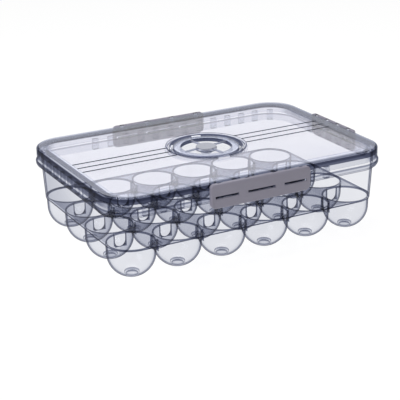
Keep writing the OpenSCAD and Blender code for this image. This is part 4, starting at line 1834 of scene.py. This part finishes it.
    def spokes(self) -> Piece:
        """Sets the spokes between the hub and the ring.

        Returns:
            The mesh object.
        """
        source = Skin("spoke_source")
        half = self.spoke_w / 2
        low, high = (self.wheel_top - drop_h for drop_h in self.spoke_drops)
        source.bead(oblong(-half, low, half, high, self.spoke_edge), self.hub_r - self.spoke_roots[0],
                    self.wheel_in_r + self.spoke_roots[1])
        made = self.wreath("wheel_spokes", source.mesh_object(), self.spokes_count, self.spoke_turn,
                           self.finishes.wheel)
        mark_depth(made, lambda place, normal: self.depths.spoke_side if abs(normal.z) < FLAT else 0.0)
        return made

    def pointer(self) -> Piece:
        """Sets the pointer on the wheel's edge.

        Returns:
            The mesh object.
        """
        radii = (self.wheel_r - self.pointer_root, self.bezel_in_r - self.pointer_gap)
        heights = (self.wheel_top - self.pointer_t, self.wheel_top)
        source = self.sector("pointer_source", radii, heights, self.pointer_half)
        return self.wreath("date_pointer", source, 1, self.pointer_turn, self.finishes.lug)

    def marks(self) -> Piece:
        """Sets the plain index marks on the wheel's face.

        Returns:
            The mesh object.
        """
        source = Skin("mark_source")
        source.prism(oblong(self.mark_in_r, -self.mark_half, self.mark_out_r, self.mark_half),
                     self.wheel_top, self.wheel_top + self.mark_h)
        return self.wreath("index_marks", source.mesh_object(), self.mark_count, self.mark_turn,
                           self.finishes.mark)

    def knob(self) -> Piece:
        """Turns the pale disc on the hub, slightly dished.

        Returns:
            The mesh object.
        """
        low = self.hub_top + self.cap_gap
        top = self.hub_top + self.cap_t
        edge = [(self.cap_r - inset, top - sink) for inset, sink in self.cap_edge]
        dish = [(self.cap_r * share, top - sink) for share, sink in self.cap_dish]
        skin = Skin("thumb_knob")
        skin.lathe([(0.0, low), (self.cap_r, low), *edge, *dish])
        return skin.mesh_object([self.finishes.knob], sharp=50.0)

    def washer(self) -> Piece:
        """Turns the push-on washer under the cup.

        Returns:
            The mesh object.
        """
        skin = Skin("stem_washer")
        bore = self.stem_end_r + self.washer_gap
        section = oblong(bore, self.washer_low, self.washer_r, self.stem_step_z, self.washer_edge, 3)
        skin.lathe(section, self.washer_steps)
        return skin.mesh_object([self.finishes.wheel])

    def build(self) -> None:
        """Makes the dial's pieces."""
        settle(self.cup(), Body.LID, RecordSlot.SMOKY, "dial_cup")
        settle(self.bezel(), Body.LID, RecordSlot.SMOKY, "dial_bezel")
        settle(self.lugs(), Body.LID, RecordSlot.SMOKY)
        settle(self.wheel(), Body.DATE_WHEEL, RecordSlot.SMOKY, "date_wheel")
        settle(self.spokes(), Body.DATE_WHEEL, RecordSlot.SMOKY)
        settle(self.pointer(), Body.DATE_WHEEL, RecordSlot.SMOKY)
        settle(self.marks(), Body.DATE_WHEEL, RecordSlot.KNOB)
        settle(self.knob(), Body.DATE_WHEEL, RecordSlot.KNOB, "knob_cap")
        settle(self.washer(), Body.DATE_WHEEL, RecordSlot.SMOKY, "wheel_retainer")


# Camera, light and floor


@dataclass(frozen=True)
class Lamp:
    """One square lamp that faces the box: its place and its side in metres, its power in watts."""

    name: str
    place: Point3
    size: float
    power: float

    def build(self) -> None:
        """Sets the lamp."""
        data = bpy.data.lights.new(self.name, "AREA")
        data.size = self.size
        data.energy = self.power
        made = add_object(self.name, data)
        made.location = self.place
        made.rotation_euler = (-Vector(self.place)).to_track_quat("-Z", "Y").to_euler()


@dataclass
class Studio:
    """The camera at the photograph's angle, soft lamps, a white world and a pale floor."""

    eye: Point3 = (-570.9, -1046.5, 476.8)
    aim: Point3 = (0.0, 0.0, 44.22)
    roll: float = -0.86
    lens: float = 108.0
    sensor: float = 36.0
    shift_x: float = -0.0169
    shift_y: float = -0.036
    clip_start: float = 0.05
    clip_end: float = 30.0
    level: float = 0.4
    behind: float = 0.8
    floor_half: float = 9000.0
    floor_drop: float = 0.2
    floor_glow: float = 0.85
    floor_tones: Point2 = (0.9, 0.93)
    floor_scale: float = 0.7
    bounces: int = 64
    least_bounces: int = 48
    transparent_bounces: int = 96
    lamps: tuple[Lamp, ...] = (
        Lamp("key", (-1.4, -0.35, 1.3), 1.0, 20.0),
        Lamp("fill", (1.4, -0.7, 1.1), 1.2, 5.0),
        Lamp("top", (0.1, 0.3, 2.0), 1.4, 28.0))

    def camera(self) -> None:
        """Sets the camera."""
        data = bpy.data.cameras.new("camera")
        data.lens = self.lens
        data.sensor_width = self.sensor
        data.shift_x = self.shift_x
        data.shift_y = self.shift_y
        data.clip_start = self.clip_start
        data.clip_end = self.clip_end
        made = add_object("camera", data)
        eye = Vector(self.eye) * MM
        turn = (Vector(self.aim) * MM - eye).to_track_quat("-Z", "Y").to_matrix()
        turn = turn @ Matrix.Rotation(math.radians(self.roll), 3, "Z")
        made.matrix_world = Matrix.Translation(eye) @ turn.to_4x4()
        bpy.context.scene.camera = made

    def world(self) -> None:
        """Sets the world: white to the eye, a little lower through the plastic and lower still as light."""
        world = bpy.data.worlds.new("studio")
        bpy.context.scene.world = world
        world.use_nodes = True
        graph = Graph(world.node_tree)
        ground = world.node_tree.nodes["Background"]
        path = graph.node("ShaderNodeLightPath").outputs
        seen = graph.math("MULTIPLY", path["Is Camera Ray"], 1.0 - self.level)
        through = graph.math("MULTIPLY", path["Is Transmission Ray"], self.behind - self.level)
        strength = graph.math("ADD", self.level, graph.math("ADD", seen, through))
        world.node_tree.links.new(strength, ground.inputs["Strength"])
        ground.inputs["Color"].default_value = (1.0, 1.0, 1.0, 1.0)

    def floor_material(self) -> Material:
        """Makes the floor's material: it glows white to the eye and stays matt for the soft shadow.

        Returns:
            The material.
        """
        material, graph, shader = new_material("pale_floor")
        nodes = material.node_tree.nodes
        nodes.remove(shader)
        place = graph.node("ShaderNodeTexCoord").outputs["Object"]
        cloud = graph.node("ShaderNodeTexNoise", None, {"Vector": place, "Scale": self.floor_scale})
        dark, light = ((tone, tone, tone, 1.0) for tone in self.floor_tones)
        path = graph.node("ShaderNodeLightPath").outputs
        seen = graph.math("MAXIMUM", path["Is Camera Ray"], path["Is Glossy Ray"])
        seen = graph.math("MAXIMUM", seen, path["Is Transmission Ray"])
        tone = graph.blend(cloud.outputs[0], dark, light)
        matt = graph.node("ShaderNodeBsdfDiffuse", None, {"Color": tone})
        glow = graph.node("ShaderNodeEmission", None, {"Strength": 1.0})
        both = graph.node("ShaderNodeMixShader", None, {
            0: graph.math("MULTIPLY", seen, self.floor_glow), 1: matt.outputs[0], 2: glow.outputs[0]})
        material.node_tree.links.new(both.outputs[0], nodes["Material Output"].inputs["Surface"])
        return material

    def floor(self) -> None:
        """Lays the floor under the box."""
        half = self.floor_half
        skin = Skin("floor")
        skin.add([(-half, -half, 0), (half, -half, 0), (half, half, 0), (-half, half, 0)], [(0, 1, 2, 3)])
        made = skin.mesh_object([self.floor_material()])
        made.location.z = -self.floor_drop * MM

    def build(self) -> None:
        """Sets the camera, the light and the floor."""
        self.camera()
        self.world()
        for lamp in self.lamps:
            lamp.build()
        self.floor()
        scene = bpy.context.scene
        scene.view_settings.view_transform = "Standard"
        scene.cycles.max_bounces = self.bounces
        scene.cycles.transmission_bounces = self.bounces
        scene.cycles.min_light_bounces = self.least_bounces
        scene.cycles.transparent_max_bounces = self.transparent_bounces


def main() -> None:
    """Builds every piece, dresses it and sets the studio."""
    logging.basicConfig(level=logging.INFO, format="%(message)s")
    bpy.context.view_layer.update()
    finishes = Finishes()
    trees = Trees()
    outline = Outline()
    Studio().build()
    Container(outline, finishes, trees).build()
    Lid(outline, finishes).build()
    Clips(finishes).build()
    DateDial(finishes, trees).build()


if __name__ == "__main__":
    main()
